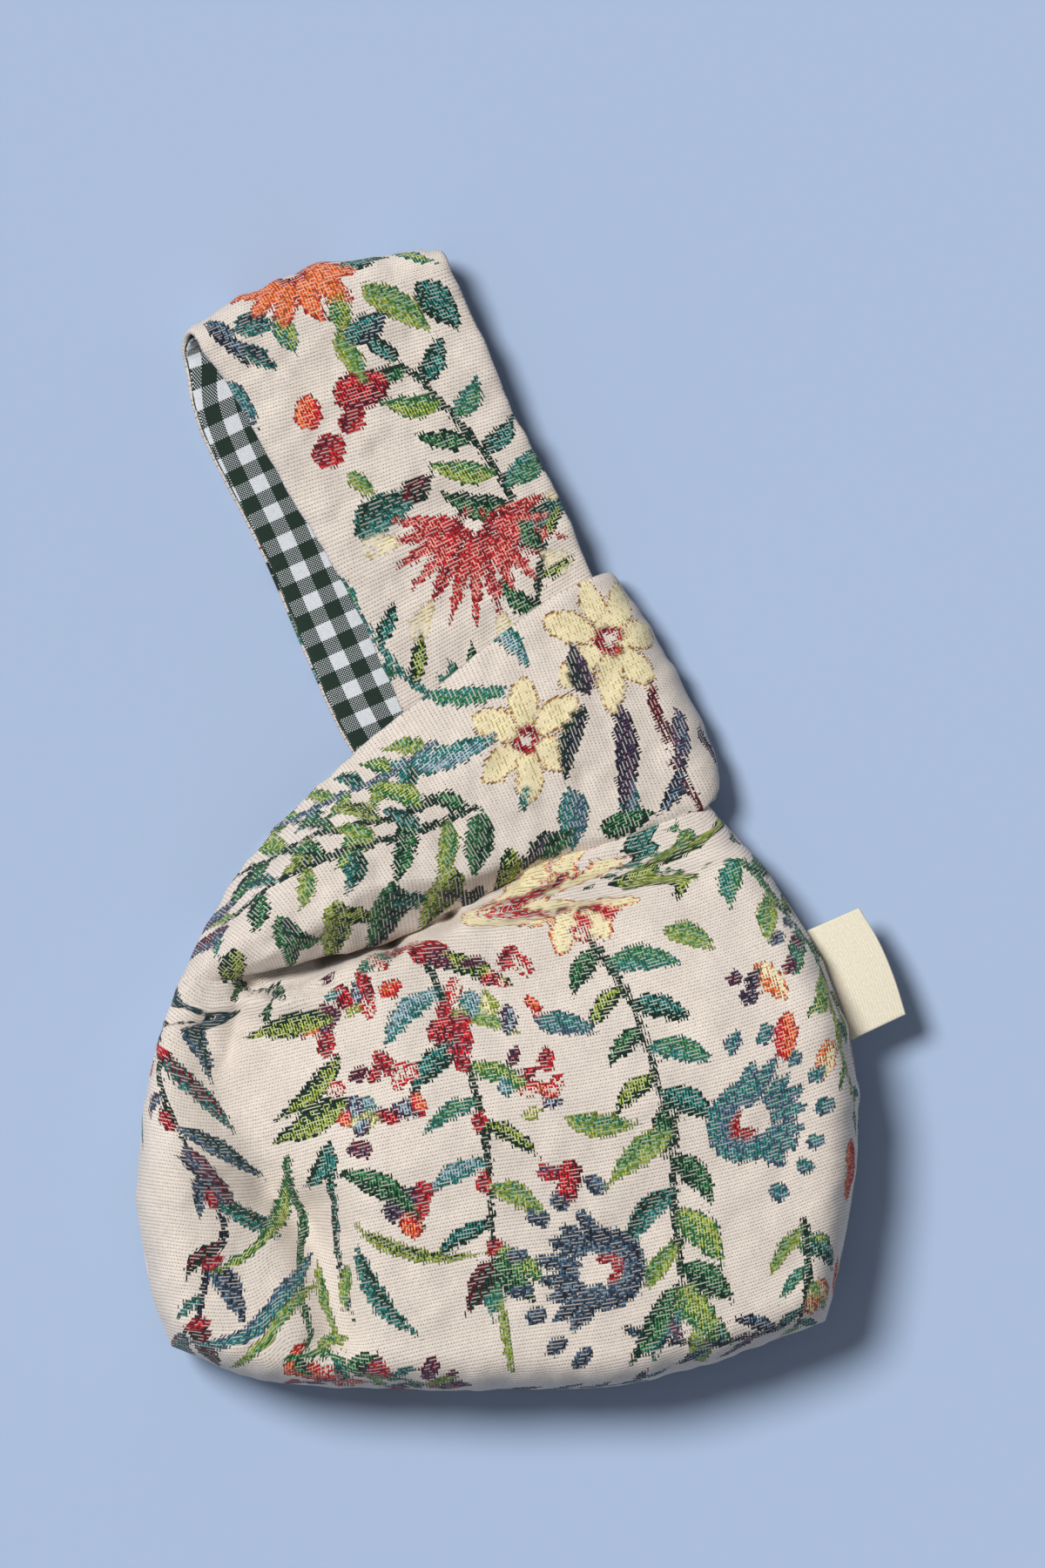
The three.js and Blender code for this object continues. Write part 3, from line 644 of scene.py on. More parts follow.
def fan_flower(x, y, turn, radius, rays, yarns, rib, tip):
    """Half a daisy seen from the side: fine rays over half a turn, some with a darker
    middle line, and pale tips below."""
    made = []
    for i in range(rays):
        way = turn + 215 * ((i + 0.5) / rays - 0.5)
        angle = np.radians(way)
        long = radius * chance.uniform(0.8, 1.1)
        made += ray(x, y, angle, 3, way, long, radius * 0.13, yarns, 0, LEAF, OUT)
        if i % 3 == 1:
            made += ray(x, y, angle, 4, way, long * 0.8, 2.0, rib, 0, STALK)
            made += ray(x, y, angle, long * 0.9, way, radius * 0.42, radius * 0.22, tip, 0, PETAL, OUT)
    for turn in range(0, 357, 51):
        angle = np.radians(turn)
        made += blade(x + np.cos(angle) * 3.2, y + np.sin(angle) * 3.6, turn + 80, 4.4, 2.2, rib, 0,
                      BERRY)
    return made


def thistle(x, y, turn, radius, yarns, heart):
    """A tufted head: fingers of one long and one short stroke that fan out to one side,
    a curved cup on the other, and a small heart with a pale middle."""
    made = []
    for i in range(8):
        way = turn + 168 * (i / 7 - 0.5)
        angle = np.radians(way + chance.uniform(-4, 4))
        first, last = chance.uniform(0.36, 0.5), chance.uniform(0.16, 0.26)
        for start, long in ((0.24, first), (0.3 + first, last)):
            made += ray(x, y, angle, radius * start, way * 0.6 + turn * 0.4, radius * long,
                        radius * 0.15, yarns, 0, BERRY)
    for i in range(8):
        way = turn + 180 + 200 * (i / 7 - 0.5)
        made += ray(x, y, np.radians(way) + 0.5, radius * 0.31, way - 90, radius * 0.34,
                    radius * 0.24, yarns, 0, BERRY)
    for i in range(5):
        way = turn + 180 + 150 * (i / 4 - 0.5)
        made += ray(x, y, np.radians(way), 2.6, way + 80, 4, 2.4, heart, 0, BERRY)
    return made


def scattered(x, y, count, across, up, size, yarns):
    """Small leaves and fruit thrown over an oval, each its own way round, in turn of
    each pair of yarns."""
    made, yarns = [], yarns.split(", ")
    for i in range(count):
        away, angle = np.sqrt((i + 0.5) / count), i * 2.4 + chance.uniform(-0.3, 0.3)
        long = size * chance.uniform(0.75, 1.25)
        made += blade(x + np.cos(angle) * away * across, y + np.sin(angle) * away * up,
                      chance.uniform(0, 360), long, long * chance.uniform(0.38, 0.6),
                      yarns[i % len(yarns)], 0, LEAF if i % 3 else BERRY)
    return made


def laid_out(rows, x=0, y=0):
    """All shapes of a layout, in the order of its rows, moved by x and y. A row holds the
    values of one woven shape, or a function for a group of them and its values."""
    made = []
    for row in rows:
        made += row[0](*row[1:]) if callable(row[0]) else blade(*row)
    return [(shape[0] + x, shape[1] + y, *shape[2:]) for shape in made]


# Yarns in pairs, to be taken in turn
GREENS = "pine fern, fern lime, pine lime, teal fern"
COOL = "pine teal, teal fern, slate teal, pine lime"
SLATES = "slate wine, slate pine, night slate, teal wine"
BERRY_YARNS = "red wine, red red, plum wine, red orange"
MIXED = ("red cream, wine red, plum sky, red wine, teal sky, red orange, "
         "wine plum, lime straw, red cream")

# Layout on the body, in the flat cloth
body_figures = laid_out([
    (spray, -66, 66, -99, 66, 3, (15, 34), SLATES, "pine", -4, (38, 44), 0.27, "wine red"),
    (spray, -80, -2, -94, 56, 3, (15, 27), "slate night, teal pine, pine wine", "night", 3, (30, 42),
     0.32, "red wine"),
    (-86, -58, -92, 24, 11, "wine teal"), (-98, 20, -88, 22, 8, "slate teal", 1),
    (spray, -46, 62, -70, 18, 1, (12, 14), "pine fern", "pine", 0, (50, 40), 0.4),
    # Spray with fruit down the middle
    (spray, 14, 60, -89, 112, 6, (25, 25),
     "teal fern, pine lime, teal sky, lime fern, pine teal, fern lime", "pine", 4, (64, 60), 0.33,
     "red wine"),
    (scattered, -8, 42, 9, 13, 9, 9, MIXED),
    (scattered, 34, 34, 10, 12, 12, 9.5, MIXED),
    (scattered, -8, 8, 11, 13, 11, 9, MIXED),
    (scattered, 36, 0, 9, 11, 11, 9, MIXED),
    (berries, 17, 52, 5, 9, 9, BERRY_YARNS),
    (berries, -22, 32, 4, 7, 8, "wine plum, red orange, red wine"),
    (berries, 17, 20, 4, 6, 9, "red wine, wine red, plum red"),
    (berries, -20, -2, 4, 8, 7, "plum sky, red orange, wine plum"),
    (berries, -6, -30, 5, 7, 8.5, "red wine, plum night, red orange"),
    (berries, 40, -28, 3, 6, 9, "wine red, red plum"),
    (-18, 22, -150, 30, 6.5, "pine lime", 2), (-20, 8, -165, 28, 9, "pine lime", 1),
    (-16, 34, 178, 30, 8, "pine lime", -1), (42, 22, -24, 20, 8, "slate teal", 1),
    (44, -10, -14, 24, 7, "lime fern", -2), (16, -50, -52, 20, 8, "pine fern"),
    (16, -50, -122, 18, 8, "wine pine"),
    # Spray of paired leaves on the right
    (spray, 66, 46, -83, 60, 4, (20, 22), "pine fern, teal fern, pine lime, pine teal", "pine", 3,
     (58, 52), 0.42),
    (spray, 77, -16, -92, 68, 4, (22, 24), "lime fern, pine fern, teal pine, fern lime", "pine", -3,
     (44, 42), 0.4),
    (blossom, 65, 62, 21, 8, "orange straw", "red wine", 0, 0.38),
    (berries, 67, 57, 8, 10, 6.5, "red wine, red cream, red red"),
    (93, 84, -96, 24, 10, "pine teal", 1),
    # Green sprig towards the tab
    (spray, 104, 76, -66, 84, 5, (17, 17), "lime fern, pine lime, fern teal, pine fern", "fern", 5,
     (52, 48), 0.46),
    (114, 66, -142, 25, 9, "pine lime", -3), (88, 42, -40, 18, 8, "lime fern", 2),
    (112, 22, -66, 15, 7, "orange straw", 0, BERRY), (117, 4, -105, 14, 7, "red orange", 0, BERRY),
    (128, -8, -110, 12, 6.5, "orange straw", 0, BERRY), (133, -40, -95, 19, 9, "orange red", 1, BERRY),
    (128, -76, -85, 16, 6, "orange red", 0, BERRY),
    (berries, 108, 18, 3, 6, 5.5, "plum night, plum wine"),
    (berries, 124, 24, 4, 8, 5.5, "plum wine, slate plum"),
    (spray, 134, 12, -86, 44, 2, (10, 13), "fern lime, teal pine", "lime", -3),
    (thistle, 98, -24, 6, 31, "slate teal", "red wine"),
    (thistle, 50, -58, 172, 32, "slate night", "red wine"),
    (110, -66, -40, 17, 7, "teal lime", 1),
    # Long leaves on the left below
    (-44, -4, -92, 66, 3.4, "fern pine", -5, STALK), (-46, -10, -142, 46, 5.4, "fern lime", 4),
    (-45, -40, -152, 44, 6.4, "slate teal", 5), (-44, -50, -138, 34, 4.6, "lime fern", -3),
    (-43, -42, -70, 30, 4, "lime fern", -3), (-28, -8, -92, 52, 3.2, "pine teal", -5, STALK),
    (-28, -4, -140, 18, 6.5, "pine teal", 2), (-27, -14, -44, 34, 7, "pine fern", 4),
    (-25, -30, -24, 44, 3.8, "lime pine", -5), (-25, -36, -62, 38, 6, "teal pine", -4),
    (-30, -42, -110, 15, 5, "lime fern"),
    (scattered, -36, -80, 10, 18, 5, 9, "red wine, red orange, red cream, wine plum"),
    (scattered, -8, -88, 7, 14, 5, 8, "wine plum, plum night, wine red"),
    (spray, 104, -92, 166, 44, 3, (14, 15), "night slate, slate wine, pine teal", "night", 3, (40, 40),
     0.34),
    (70, -68, -128, 26, 8, "pine fern", 1), (72, -68, -60, 22, 9, "fern lime", -1),
    (17, -62, -88, 24, 2.4, "lime fern", 0, STALK),
    # Low down, towards the seam
    (spray, -52, -70, -22, 50, 4, (12, 13), "pine fern, lime fern, teal pine", "fern", 3, (46, 46),
     0.4),
    (spray, 8, -104, 6, 52, 4, (12, 12), "slate teal, night plum, pine teal", "night", -4, (44, 44),
     0.4),
    (spray, 112, -58, -99, 40, 3, (15, 15), "lime fern, pine teal, fern teal", "pine", 3, (44, 44),
     0.4),
    (scattered, 122, -92, 5, 10, 7, 8, "red orange, orange straw, plum wine"),
    (spray, 144, 70, -92, 44, 3, (11, 11), GREENS, "fern", 2, (46, 46), 0.4),
])

# Layout on the long loop, across it from its middle and along it from the body
long_figures = laid_out([
    (-28, 112, 10, 26, 10, "teal pine", 2), (-10, 116, 24, 14, 7, "pine wine"),
    (spray, 18, 90, 98, 70, 5, (20, 21), "pine teal, pine fern, teal fern, fern lime", "pine", -6,
     (62, 60), 0.42),
    (fan_flower, 6, 102, -106, 30, 14, "red rose", "wine red", "straw cream"),
    (-38, 194, -78, 26, 6, "night slate", 1), (-41, 168, -84, 18, 5, "slate teal"),
    (-31, 178, -66, 13, 6, "teal night"),
    (spray, -20, 50, 112, 48, 3, (17, 17), "teal fern, pine teal, pine lime", "teal", 4, (56, 52),
     0.42),
    (-27, 134, 40, 12, 9, "red wine", 0, BERRY), (-26, 146, 60, 11, 8, "red orange", 0, BERRY),
    (-16, 142, 30, 9, 7, "red wine", 0, BERRY), (-14, 151, 12, 18, 12, "wine red", 0, BERRY),
    (-20, 130, -70, 10, 5, "lime fern"), (-4, 172, -88, 20, 6.5, "lime fern"),
    (-17, 182, -96, 13, 7, "teal lime"), (-31, 186, -24, 14, 9, "teal night"),
    (10, 184, -58, 24, 10, "lime fern", 1), (3, 182, -120, 12, 7, "fern lime"),
    (6, 192, 6, 16, 6, "pine teal"), (27, 180, -80, 18, 11, "pine teal"),
    (24, 196, -50, 16, 4.5, "teal lime"), (-3, 168, 20, 18, 8, "night teal"),
    (blossom, -8, 196, 21, 11, "red orange", "red wine", 0, 0.3, 0.1),
    (26, 212, -70, 18, 6, "pine teal", 2),
    (spray, 8, 56, 62, 36, 2, (16, 17), "pine lime, pine fern", "pine", 2, (50, 50), 0.45),
    (spray, -20, 26, 80, 34, 2, (18, 18), GREENS, "pine", 2, (50, 50), 0.42),
    (berries, 6, 58, 4, 6, 5, "red orange"),
    (spray, 14, 14, 96, 34, 2, (16, 16), COOL, "pine", 2, (50, 50), 0.42),
], 88, 88)

# Layout on the short loop, across it from its middle and along it from the body
short_figures = laid_out([
    (blossom, -8, 127, 19, 6, "ochre straw", "red wine", 10, 0.48, 0.12),
    (blossom, -23, 163, 22, 7, "ochre straw", "red wine", 0, 0.43, 0.14),
    (16, 152, -30, 20, 6, "teal slate", 2), (22, 168, -50, 16, 5, "night slate", 1),
    (20, 124, -70, 18, 5, "pine plum", -1), (-10, 150, 176, 18, 8, "plum pine", 1),
    (-8, 148, -40, 24, 7, "pine night", -2), (-4, 158, -22, 38, 7, "night plum", 2),
    (-6, 170, -2, 44, 2.8, "wine wine", -3, STALK), (4, 174, -22, 22, 5.5, "plum slate", 1),
    (12, 180, 6, 16, 4.5, "plum night"), (-30, 192, 4, 20, 6, "night slate", 2),
    (-8, 194, -8, 26, 5, "slate teal", 3), (-20, 204, -4, 34, 4.5, "plum slate", 3),
    (-27, 136, -148, 38, 6, "teal sky", -4), (-24, 128, -130, 30, 5, "teal fern", 3),
    (-14, 122, -118, 44, 6.5, "teal sky", 5), (12, 134, -20, 19, 10, "teal slate", 1),
    (4, 122, -44, 8, 4, "teal teal"),
    (spray, -24, 104, -103, 76, 7, (12, 12), "lime fern, teal pine, fern lime", "slate", 3, (38, 38),
     0.42),
    (spray, -10, 96, -108, 74, 5, (17, 20), "fern lime, pine fern, lime pine", "pine", 4, (44, 50),
     0.42),
    (spray, 0, 106, -97, 92, 6, (15, 17), "pine fern, lime fern, teal pine", "pine", -3, (42, 52), 0.4),
    (2, 106, -46, 20, 10, "fern pine", 1), (16, 108, -30, 18, 9, "pine lime", 1),
    (10, 88, -34, 24, 12, "lime pine", 1), (6, 70, -28, 26, 12, "fern night", 2),
    (4, 52, -24, 24, 11, "lime pine", 1), (0, 34, -20, 20, 10, "fern night", 1),
    (24, 116, 90, 16, 7, "fern pine"), (28, 138, 80, 18, 7, "pine fern"),
    (12, 68, 62, 14, 6, "teal pine"), (9, 50, 66, 14, 6, "pine lime"), (8, 32, 60, 13, 6, "fern pine"),
    (18, 82, 58, 12, 5, "plum pine"), (22, 94, -20, 14, 8, "pine night"),
    (-8, 22, -110, 24, 8, "wine slate", 1), (-18, 30, -100, 22, 6, "slate plum", 1),
    (2, 18, -80, 18, 8, "pine lime", 1),
], -54, 55)
front_figures = body_figures + long_figures + short_figures


def add(tree, kind, *values, out=0, **settings):
    """Adds a node of a kind, its operation after a space, with its settings. Each value
    in turn fills an input: a socket is linked, a number or colour is set, and a pair
    names its input first."""
    kind, *operation = kind.split()
    made = tree.nodes.new("ShaderNode" + kind)
    if operation:
        made.operation = operation[0]
    for name, setting in settings.items():
        setattr(made, name, setting)
    for place, value in enumerate(values):
        if isinstance(value, tuple) and len(value) == 2:
            place, value = value
        if isinstance(value, bpy.types.NodeSocket):
            tree.links.new(value, made.inputs[place])
        elif value is not None:
            made.inputs[place].default_value = value
    return made.outputs[out]


def new_material(name, **settings):
    """A material with its shader's own sockets set, its node tree, and its shader."""
    made = bpy.data.materials.new(name)
    made.use_nodes = True
    shader = made.node_tree.nodes["Principled BSDF"]
    for socket, value in settings.items():
        shader.inputs[socket.replace("_", " ")].default_value = value
    return made, made.node_tree, shader


def link_finish(tree, shader, colour, relief):
    """Links a material's colour and its relief to its shader."""
    tree.links.new(colour, shader.inputs["Base Color"])
    tree.links.new(relief, shader.inputs["Normal"])


def counted_threads(tree, warp, weft):
    """The cloth laid flat, the whole numbers of warp and weft at each place, by threads
    of two widths in millimetres, and the place within those threads."""
    flat = add(tree, "UVMap", uv_map="cloth laid flat")
    threads = add(tree, "VectorMath MULTIPLY", flat, (1 / warp, 1 / weft, 1))
    return flat, add(tree, "VectorMath FLOOR", threads), add(tree, "VectorMath FRACTION", threads)


# Jacquard tapestry of cotton: a cream ground with fine slits between its rows, and
# shapes of dyed yarn in steps of one thread, bound down by short cream bars. The real
# threads are 0.4 mm; these are as coarse as shows.
WARP, WEFT = 0.45, 1.1

tapestry, weave, cotton = new_material(
    "jacquard tapestry", Roughness=0.88, Specular_IOR_Level=0.25, Sheen_Weight=0.12)
flat, cell, part = counted_threads(weave, WARP, WEFT)
to_middle = add(weave, "VectorMath SUBTRACT", (0.5, 0.5, 0), part)
step_back = add(weave, "VectorMath MULTIPLY", to_middle, (WARP, WEFT, 0))
across = add(weave, "SeparateXYZ", step_back)
reach = add(weave, "CombineXYZ", 1.0, across, across.node.outputs[1])
figure = add(weave, "Attribute", attribute_name="figure", out="Vector")
shade = add(weave, "Attribute", attribute_name="shade", out="Vector")
inside = add(weave, "VectorMath DOT_PRODUCT", figure, reach, out="Value")
yarn_share = add(weave, "VectorMath DOT_PRODUCT", shade, reach, out="Value")
dice = add(weave, "TexWhiteNoise", cell, noise_dimensions="2D", out="Color")
dice = add(weave, "SeparateColor", dice)
warp_number = add(weave, "SeparateXYZ", cell)
weft_number = warp_number.node.outputs[1]

# Every other warp is a dark one, partly as a dark yarn and partly as painted shade between threads. Each
# row of weft ends a little further in or out, so that edges have teeth
odd = add(weave, "Math FLOORED_MODULO", warp_number, 2.0)
stretch = add(weave, "VectorMath MULTIPLY", cell, (0.2, 1, 1))
stretch = add(weave, "VectorMath FLOOR", stretch)
tooth = add(weave, "TexWhiteNoise", stretch, noise_dimensions="2D")
tooth = add(weave, "Math MULTIPLY_ADD", tooth, 0.9, -0.5)
ragged = add(weave, "Math MULTIPLY_ADD", dice, 0.5, -0.25)
for jag in (ragged, tooth):
    inside = add(weave, "Math ADD", inside, jag)
inside = add(weave, "Math MULTIPLY_ADD", odd, 0.45, inside)
shown = add(weave, "Math GREATER_THAN", inside, 0.0)
spotted = add(weave, "Math MULTIPLY_ADD", dice.node.outputs[1], 0.6, yarn_share)
spotted = add(weave, "Math MULTIPLY_ADD", odd, -0.45, spotted)
second = add(weave, "Math GREATER_THAN", spotted, 0.62)
well_in = add(weave, "Math GREATER_THAN", inside, 0.6)
second = add(weave, "Math MULTIPLY", second, well_in)
first_yarn = add(weave, "Attribute", attribute_name="first yarn")
second_yarn = add(weave, "Attribute", attribute_name="second yarn")
yarn = add(weave, "Mix", second, (6, first_yarn), (7, second_yarn), data_type="RGBA", out=2)

# Each thread of the figure is a little lighter or darker than the next, with painted shade darkening each
# thread towards the gap between two of them; pale yarn shows less of this
within = add(weave, "SeparateXYZ", part)
warp_away, weft_away = (add(weave, "Math ABSOLUTE", add(weave, "Math SUBTRACT", way, 0.5))
                        for way in within.node.outputs[:2])
lit = add(weave, "MapRange", dice.node.outputs[2], 0.0, 1.0, 0.5, 1.5)
# painted shade: every other warp is made darker, standing partly for a dark yarn and partly for shade
# between threads
darker = add(weave, "Math MULTIPLY_ADD", odd, -0.75, 1.3)
# painted shade: each warp darkens towards its edges, in the gap between threads
gap = add(weave, "MapRange", warp_away, 0.3, 0.5, 1.0, 0.7)
for share in (darker, gap):
    lit = add(weave, "Math MULTIPLY", lit, share)
paleness = add(weave, "SeparateColor", yarn, out=1)
paleness = add(weave, "MapRange", paleness, 0.3, 0.65, 0.0, 0.8)
lit = add(weave, "Mix", paleness, (2, lit), (3, 1.0))
rim = add(weave, "MapRange", inside, 0.1, 0.9, 0.6, 1.0)
lit = add(weave, "Math MULTIPLY", lit, rim)
figure_colour = add(weave, "VectorMath SCALE", yarn, ("Scale", lit))

# Between its rows the figure is bound down: most places show a bar of cream and the second yarn over two
# warps, one warp further on in each row, the others painted shade of a gap, the figure's colour at half
# brightness
pair = add(weave, "Math ADD", warp_number, weft_number)
pair = add(weave, "Math MULTIPLY", pair, 0.5)
pair = add(weave, "Math FLOOR", pair)
pair = add(weave, "CombineXYZ", pair, weft_number)
pair_dice = add(weave, "TexWhiteNoise", pair, noise_dimensions="2D")
pale_bar = add(weave, "Math GREATER_THAN", pair_dice, 0.42)
bar_colour = add(weave, "Mix", 0.6, (6, second_yarn), (7, linear(CREAM)), data_type="RGBA", out=2)
# painted shade: the gap between rows, the figure's colour at half brightness
painted_gap_shade = add(weave, "VectorMath SCALE", figure_colour, ("Scale", 0.5))
bar_colour = add(weave, "Mix", pale_bar, (6, painted_gap_shade), (7, bar_colour), data_type="RGBA", out=2)
low = add(weave, "Math LESS_THAN", within.node.outputs[1], 0.3)
figure_colour = add(weave, "Mix", low, (6, figure_colour), (7, bar_colour), data_type="RGBA", out=2)

# The ground's rows are fine and even, each darkened towards its edges as painted shade, and every other
# warp leaves a slit between two, coloured with painted shade
slit = add(weave, "Math ADD", warp_number, weft_number)
slit = add(weave, "Math FLOORED_MODULO", slit, 2.0)
slit = add(weave, "Math MULTIPLY", slit, low)
narrow = add(weave, "Math LESS_THAN", warp_away, 0.4)
slit = add(weave, "Math MULTIPLY", slit, narrow)
slub = add(weave, "TexNoise", ("Vector", flat), ("Scale", 0.06), ("Detail", 3.0), noise_dimensions="2D")
slub = add(weave, "MapRange", slub, 0.3, 0.7, 0.95, 1.05)
thread = add(weave, "MapRange", dice.node.outputs[2], 0.0, 1.0, 0.93, 1.05)
# painted shade: each ground row darkens towards its edges, where the rows meet
painted_furrow_shade = add(weave, "MapRange", weft_away, 0.3, 0.5, 1.0, 0.9)
tone = add(weave, "Math MULTIPLY", slub, thread)
tone = add(weave, "Math MULTIPLY", tone, painted_furrow_shade)
ground_colour = add(weave, "VectorMath SCALE", linear(CREAM)[:3], ("Scale", tone))
# painted shade in the slits: a dark brown-grey laid over the cream, stronger or weaker at random
painted_slit_shade = add(weave, "MapRange", dice, 0.0, 1.0, 0.35, 0.95)
painted_slit_shade = add(weave, "Math MULTIPLY", slit, painted_slit_shade)
ground_colour = add(weave, "Mix", painted_slit_shade, (6, ground_colour), (7, linear("#8d7a68")),
                    data_type="RGBA", out=2)
cloth_colour = add(weave, "Mix", shown, (6, ground_colour), (7, figure_colour),
                   data_type="RGBA", out=2)

# Height in millimetres: low round ribs, round floats that stand above them
rib = add(weave, "Math POWER", weft_away, 2.0)
rib = add(weave, "Math MULTIPLY_ADD", rib, -0.4, 0.1)
float_round = add(weave, "Math POWER", warp_away, 2.0)
float_round = add(weave, "Math MULTIPLY_ADD", float_round, -0.6, 0.3)
raised = add(weave, "Math MULTIPLY", float_round, shown)
pressed = add(weave, "Math MULTIPLY_ADD", slit, -0.1, rib)
height = add(weave, "Math ADD", pressed, raised)
relief = add(weave, "Bump", ("Strength", 0.6), ("Distance", 0.001), ("Height", height))
link_finish(weave, cotton, cloth_colour, relief)

# Lining cotton in gingham check: white squares, squares where dark warp and weft
# cross, and between them squares of both, with white dots on dark. The real threads
# are 0.3 mm; these are as coarse as shows.
CHECK = 5.0  # side of a square in millimetres
COTTON = CHECK / 12  # width of a thread

gingham, plain, cotton = new_material(
    "woven gingham cotton", Roughness=0.85, Specular_IOR_Level=0.25, Sheen_Weight=0.08)
_, cell, part = counted_threads(plain, COTTON, COTTON)
squares = add(plain, "VectorMath MULTIPLY", cell, (COTTON / CHECK, COTTON / CHECK, 1))
squares = add(plain, "VectorMath FLOOR", squares)
squares = add(plain, "VectorMath MODULO", squares, (2, 2, 2))
squares = add(plain, "VectorMath ABSOLUTE", squares)
squares = add(plain, "SeparateXYZ", squares)
number = add(plain, "SeparateXYZ", cell)
over = add(plain, "Math ADD", number, number.node.outputs[1])
over = add(plain, "Math FLOORED_MODULO", over, 2.0)
dark = add(plain, "Mix", over, (2, squares), (3, squares.node.outputs[1]))
part = add(plain, "SeparateXYZ", part)
warp_round, weft_round = (add(plain, "Math SINE", add(plain, "Math MULTIPLY", way, np.pi))
                          for way in part.node.outputs[:2])

# In a square of both colours the white threads show as round dots
mixed = add(plain, "Math SUBTRACT", squares, squares.node.outputs[1])
mixed = add(plain, "Math ABSOLUTE", mixed)
round_off = add(plain, "Math MULTIPLY", warp_round, weft_round)
round_off = add(plain, "Math LESS_THAN", round_off, 0.4)
round_off = add(plain, "Math MULTIPLY", round_off, mixed)
dark = add(plain, "Math MAXIMUM", dark, round_off)
speck = add(plain, "TexWhiteNoise", cell, noise_dimensions="2D")
speck = add(plain, "MapRange", speck, 0.0, 1.0, 0.9, 1.06)
# painted shade: each warp darker towards its edges, where it rounds away; the specks below carry it too
painted_thread_edge_shade = add(plain, "MapRange", warp_round, 0.0, 1.0, 0.8, 1.04)
speck = add(plain, "Math MULTIPLY", speck, painted_thread_edge_shade)
thread_colour = add(plain, "Mix", dark, (6, linear("#e3e6e9")), (7, linear("#23352c")),
                    data_type="RGBA", out=2)
thread_colour = add(plain, "VectorMath SCALE", thread_colour, ("Scale", speck))
height = add(plain, "Mix", over, (2, warp_round), (3, weft_round))
relief = add(plain, "Bump", ("Strength", 0.6), ("Distance", 0.00015), ("Height", height))
link_finish(plain, cotton, thread_colour, relief)

front_cloth, front_source = sewn_sheet("front_cloth", front_middle, front_net, front_lay, CLOTH,
                                       [tapestry, gingham])
dye(front_cloth, front_source, front_lay, front_figures)
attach(front_cloth, "root")
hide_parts("front_panel")

# Back panel. The same tapestry cut to the same shape, turned upside down on the bolt:
# the flat back of the body with the back layer of both loops. It lies on the surface
# and is sewn to the front round its sides and bottom and across each loop.

OVER_SHORT_LOOP = 3.8  # height of the back where the short loop lies under it
OVER_UP, OVER_ACROSS = (0.75, 0.22), (0.45, 0.2)  # shares where it rises to that, over how much
BACK_ROLL = (15, 15, 15)
BACK_TOP = [(-103.3, -49.3), (-86.8, -50), (-68, -48), (-42.7, -38), (-12, -24), (24, -9), (49, 10)]
BACK_COLUMNS = (28, 54, 36)  # of the short loop's root, the mouth and the long loop's root
BACK_ROWS = 92
BACK_SHORT_ROWS, BACK_LONG_ROWS = 100, 120
BACK_WIDTH, BACK_LENGTH, BACK_RISE = 205, 155, 18
SEAM_STEP = 0.006  # share of a loop's back that is left open at its seam
BODY_MIDDLE, LONG_MIDDLE, SHORT_MIDDLE = (21, -11), (83, 190), (-54, 165)


def back_body(u, v):
    """Flat on the surface, higher where the short loop lies under it, rising to the
    seams in quarter rounds."""
    plan, width, height = body_plan(u, v, BACK_TOP)
    under = (smooth((v - OVER_UP[0]) / OVER_UP[1])
             * smooth((u - OVER_ACROSS[0]) / OVER_ACROSS[1]))
    rise = rim_rise(u, v, width, height, BACK_ROLL)
    seam = seam_height(u, v, OVER_SHORT_LOOP) - SEAM_SPLIT / 2
    return np.concatenate([plan, mix(seam, mix(REST, OVER_SHORT_LOOP, under), rise)[..., None]], -1)


def turned(blades, middle):
    """The same shapes, turned half round about a middle."""
    return [(2 * middle[0] - row[0], 2 * middle[1] - row[1], row[2] + 180, *row[3:]) for row in blades]


columns = even_steps((0, ROOT_END, MOUTH_END, 1), BACK_COLUMNS, BACK_WIDTH, BACK_RISE, *BACK_ROLL[:2])
rows = 2 * even_steps((0, 1), (2 * BACK_ROWS,), 2 * BACK_LENGTH, BACK_RISE,
                      *[BACK_ROLL[2]] * 2)[:BACK_ROWS + 1]
back_start = BACK_COLUMNS[0] + BACK_COLUMNS[1]
back_body_grid = back_body(*np.meshgrid(columns, rows))
back_loops, back_lays = [], [body_lay(back_body_grid)]
for layer, table, cut, root, start, steps in (
        (short_back, None, SHORT_SEAM, columns[:BACK_COLUMNS[0] + 1] / ROOT_END, 0,
         BACK_SHORT_ROWS),
        (long_section, LONG_BACK, LONG_SEAM, (columns[back_start:] - MOUTH_END) / (1 - MOUTH_END),
         back_start, BACK_LONG_ROWS)):
    t = spread_columns(root, np.linspace(0, 1, len(root)), steps + 1)
    s = np.linspace(1, cut + SEAM_STEP, steps + 1)[:, None] * np.ones_like(t)
    strap = layer(s, t) if table is None else layer(table, s, t)
    edge = slice(start, start + len(root))
    strap = rooted(strap, back_body_grid[-1, edge])
    strap[..., 2] = np.maximum(strap[..., 2], REST)
    back_loops.append((strap, start))
    back_lays.append(strap_lay(strap, back_lays[0][-1, edge]))
back_middle, back_net = joined(back_body_grid, back_loops)
back_lay, _ = joined(back_lays[0], [(back_lays[1], 0), (back_lays[2], back_start)])
back_figures = (turned(body_figures, BODY_MIDDLE) + turned(long_figures, LONG_MIDDLE)
                + turned(short_figures, SHORT_MIDDLE))

back_cloth, back_source = sewn_sheet("back_cloth", back_middle, back_net[:, ::-1], back_lay, CLOTH,
                                     [tapestry, gingham])
dye(back_cloth, back_source, back_lay, back_figures)
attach(back_cloth, "root")
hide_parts("back_panel")

# Lining of the long loop. One strip of the gingham cotton inside it, from the body
# over the loop's end and back, sewn in along both its edges, so that its back layer
# shows past the front one.

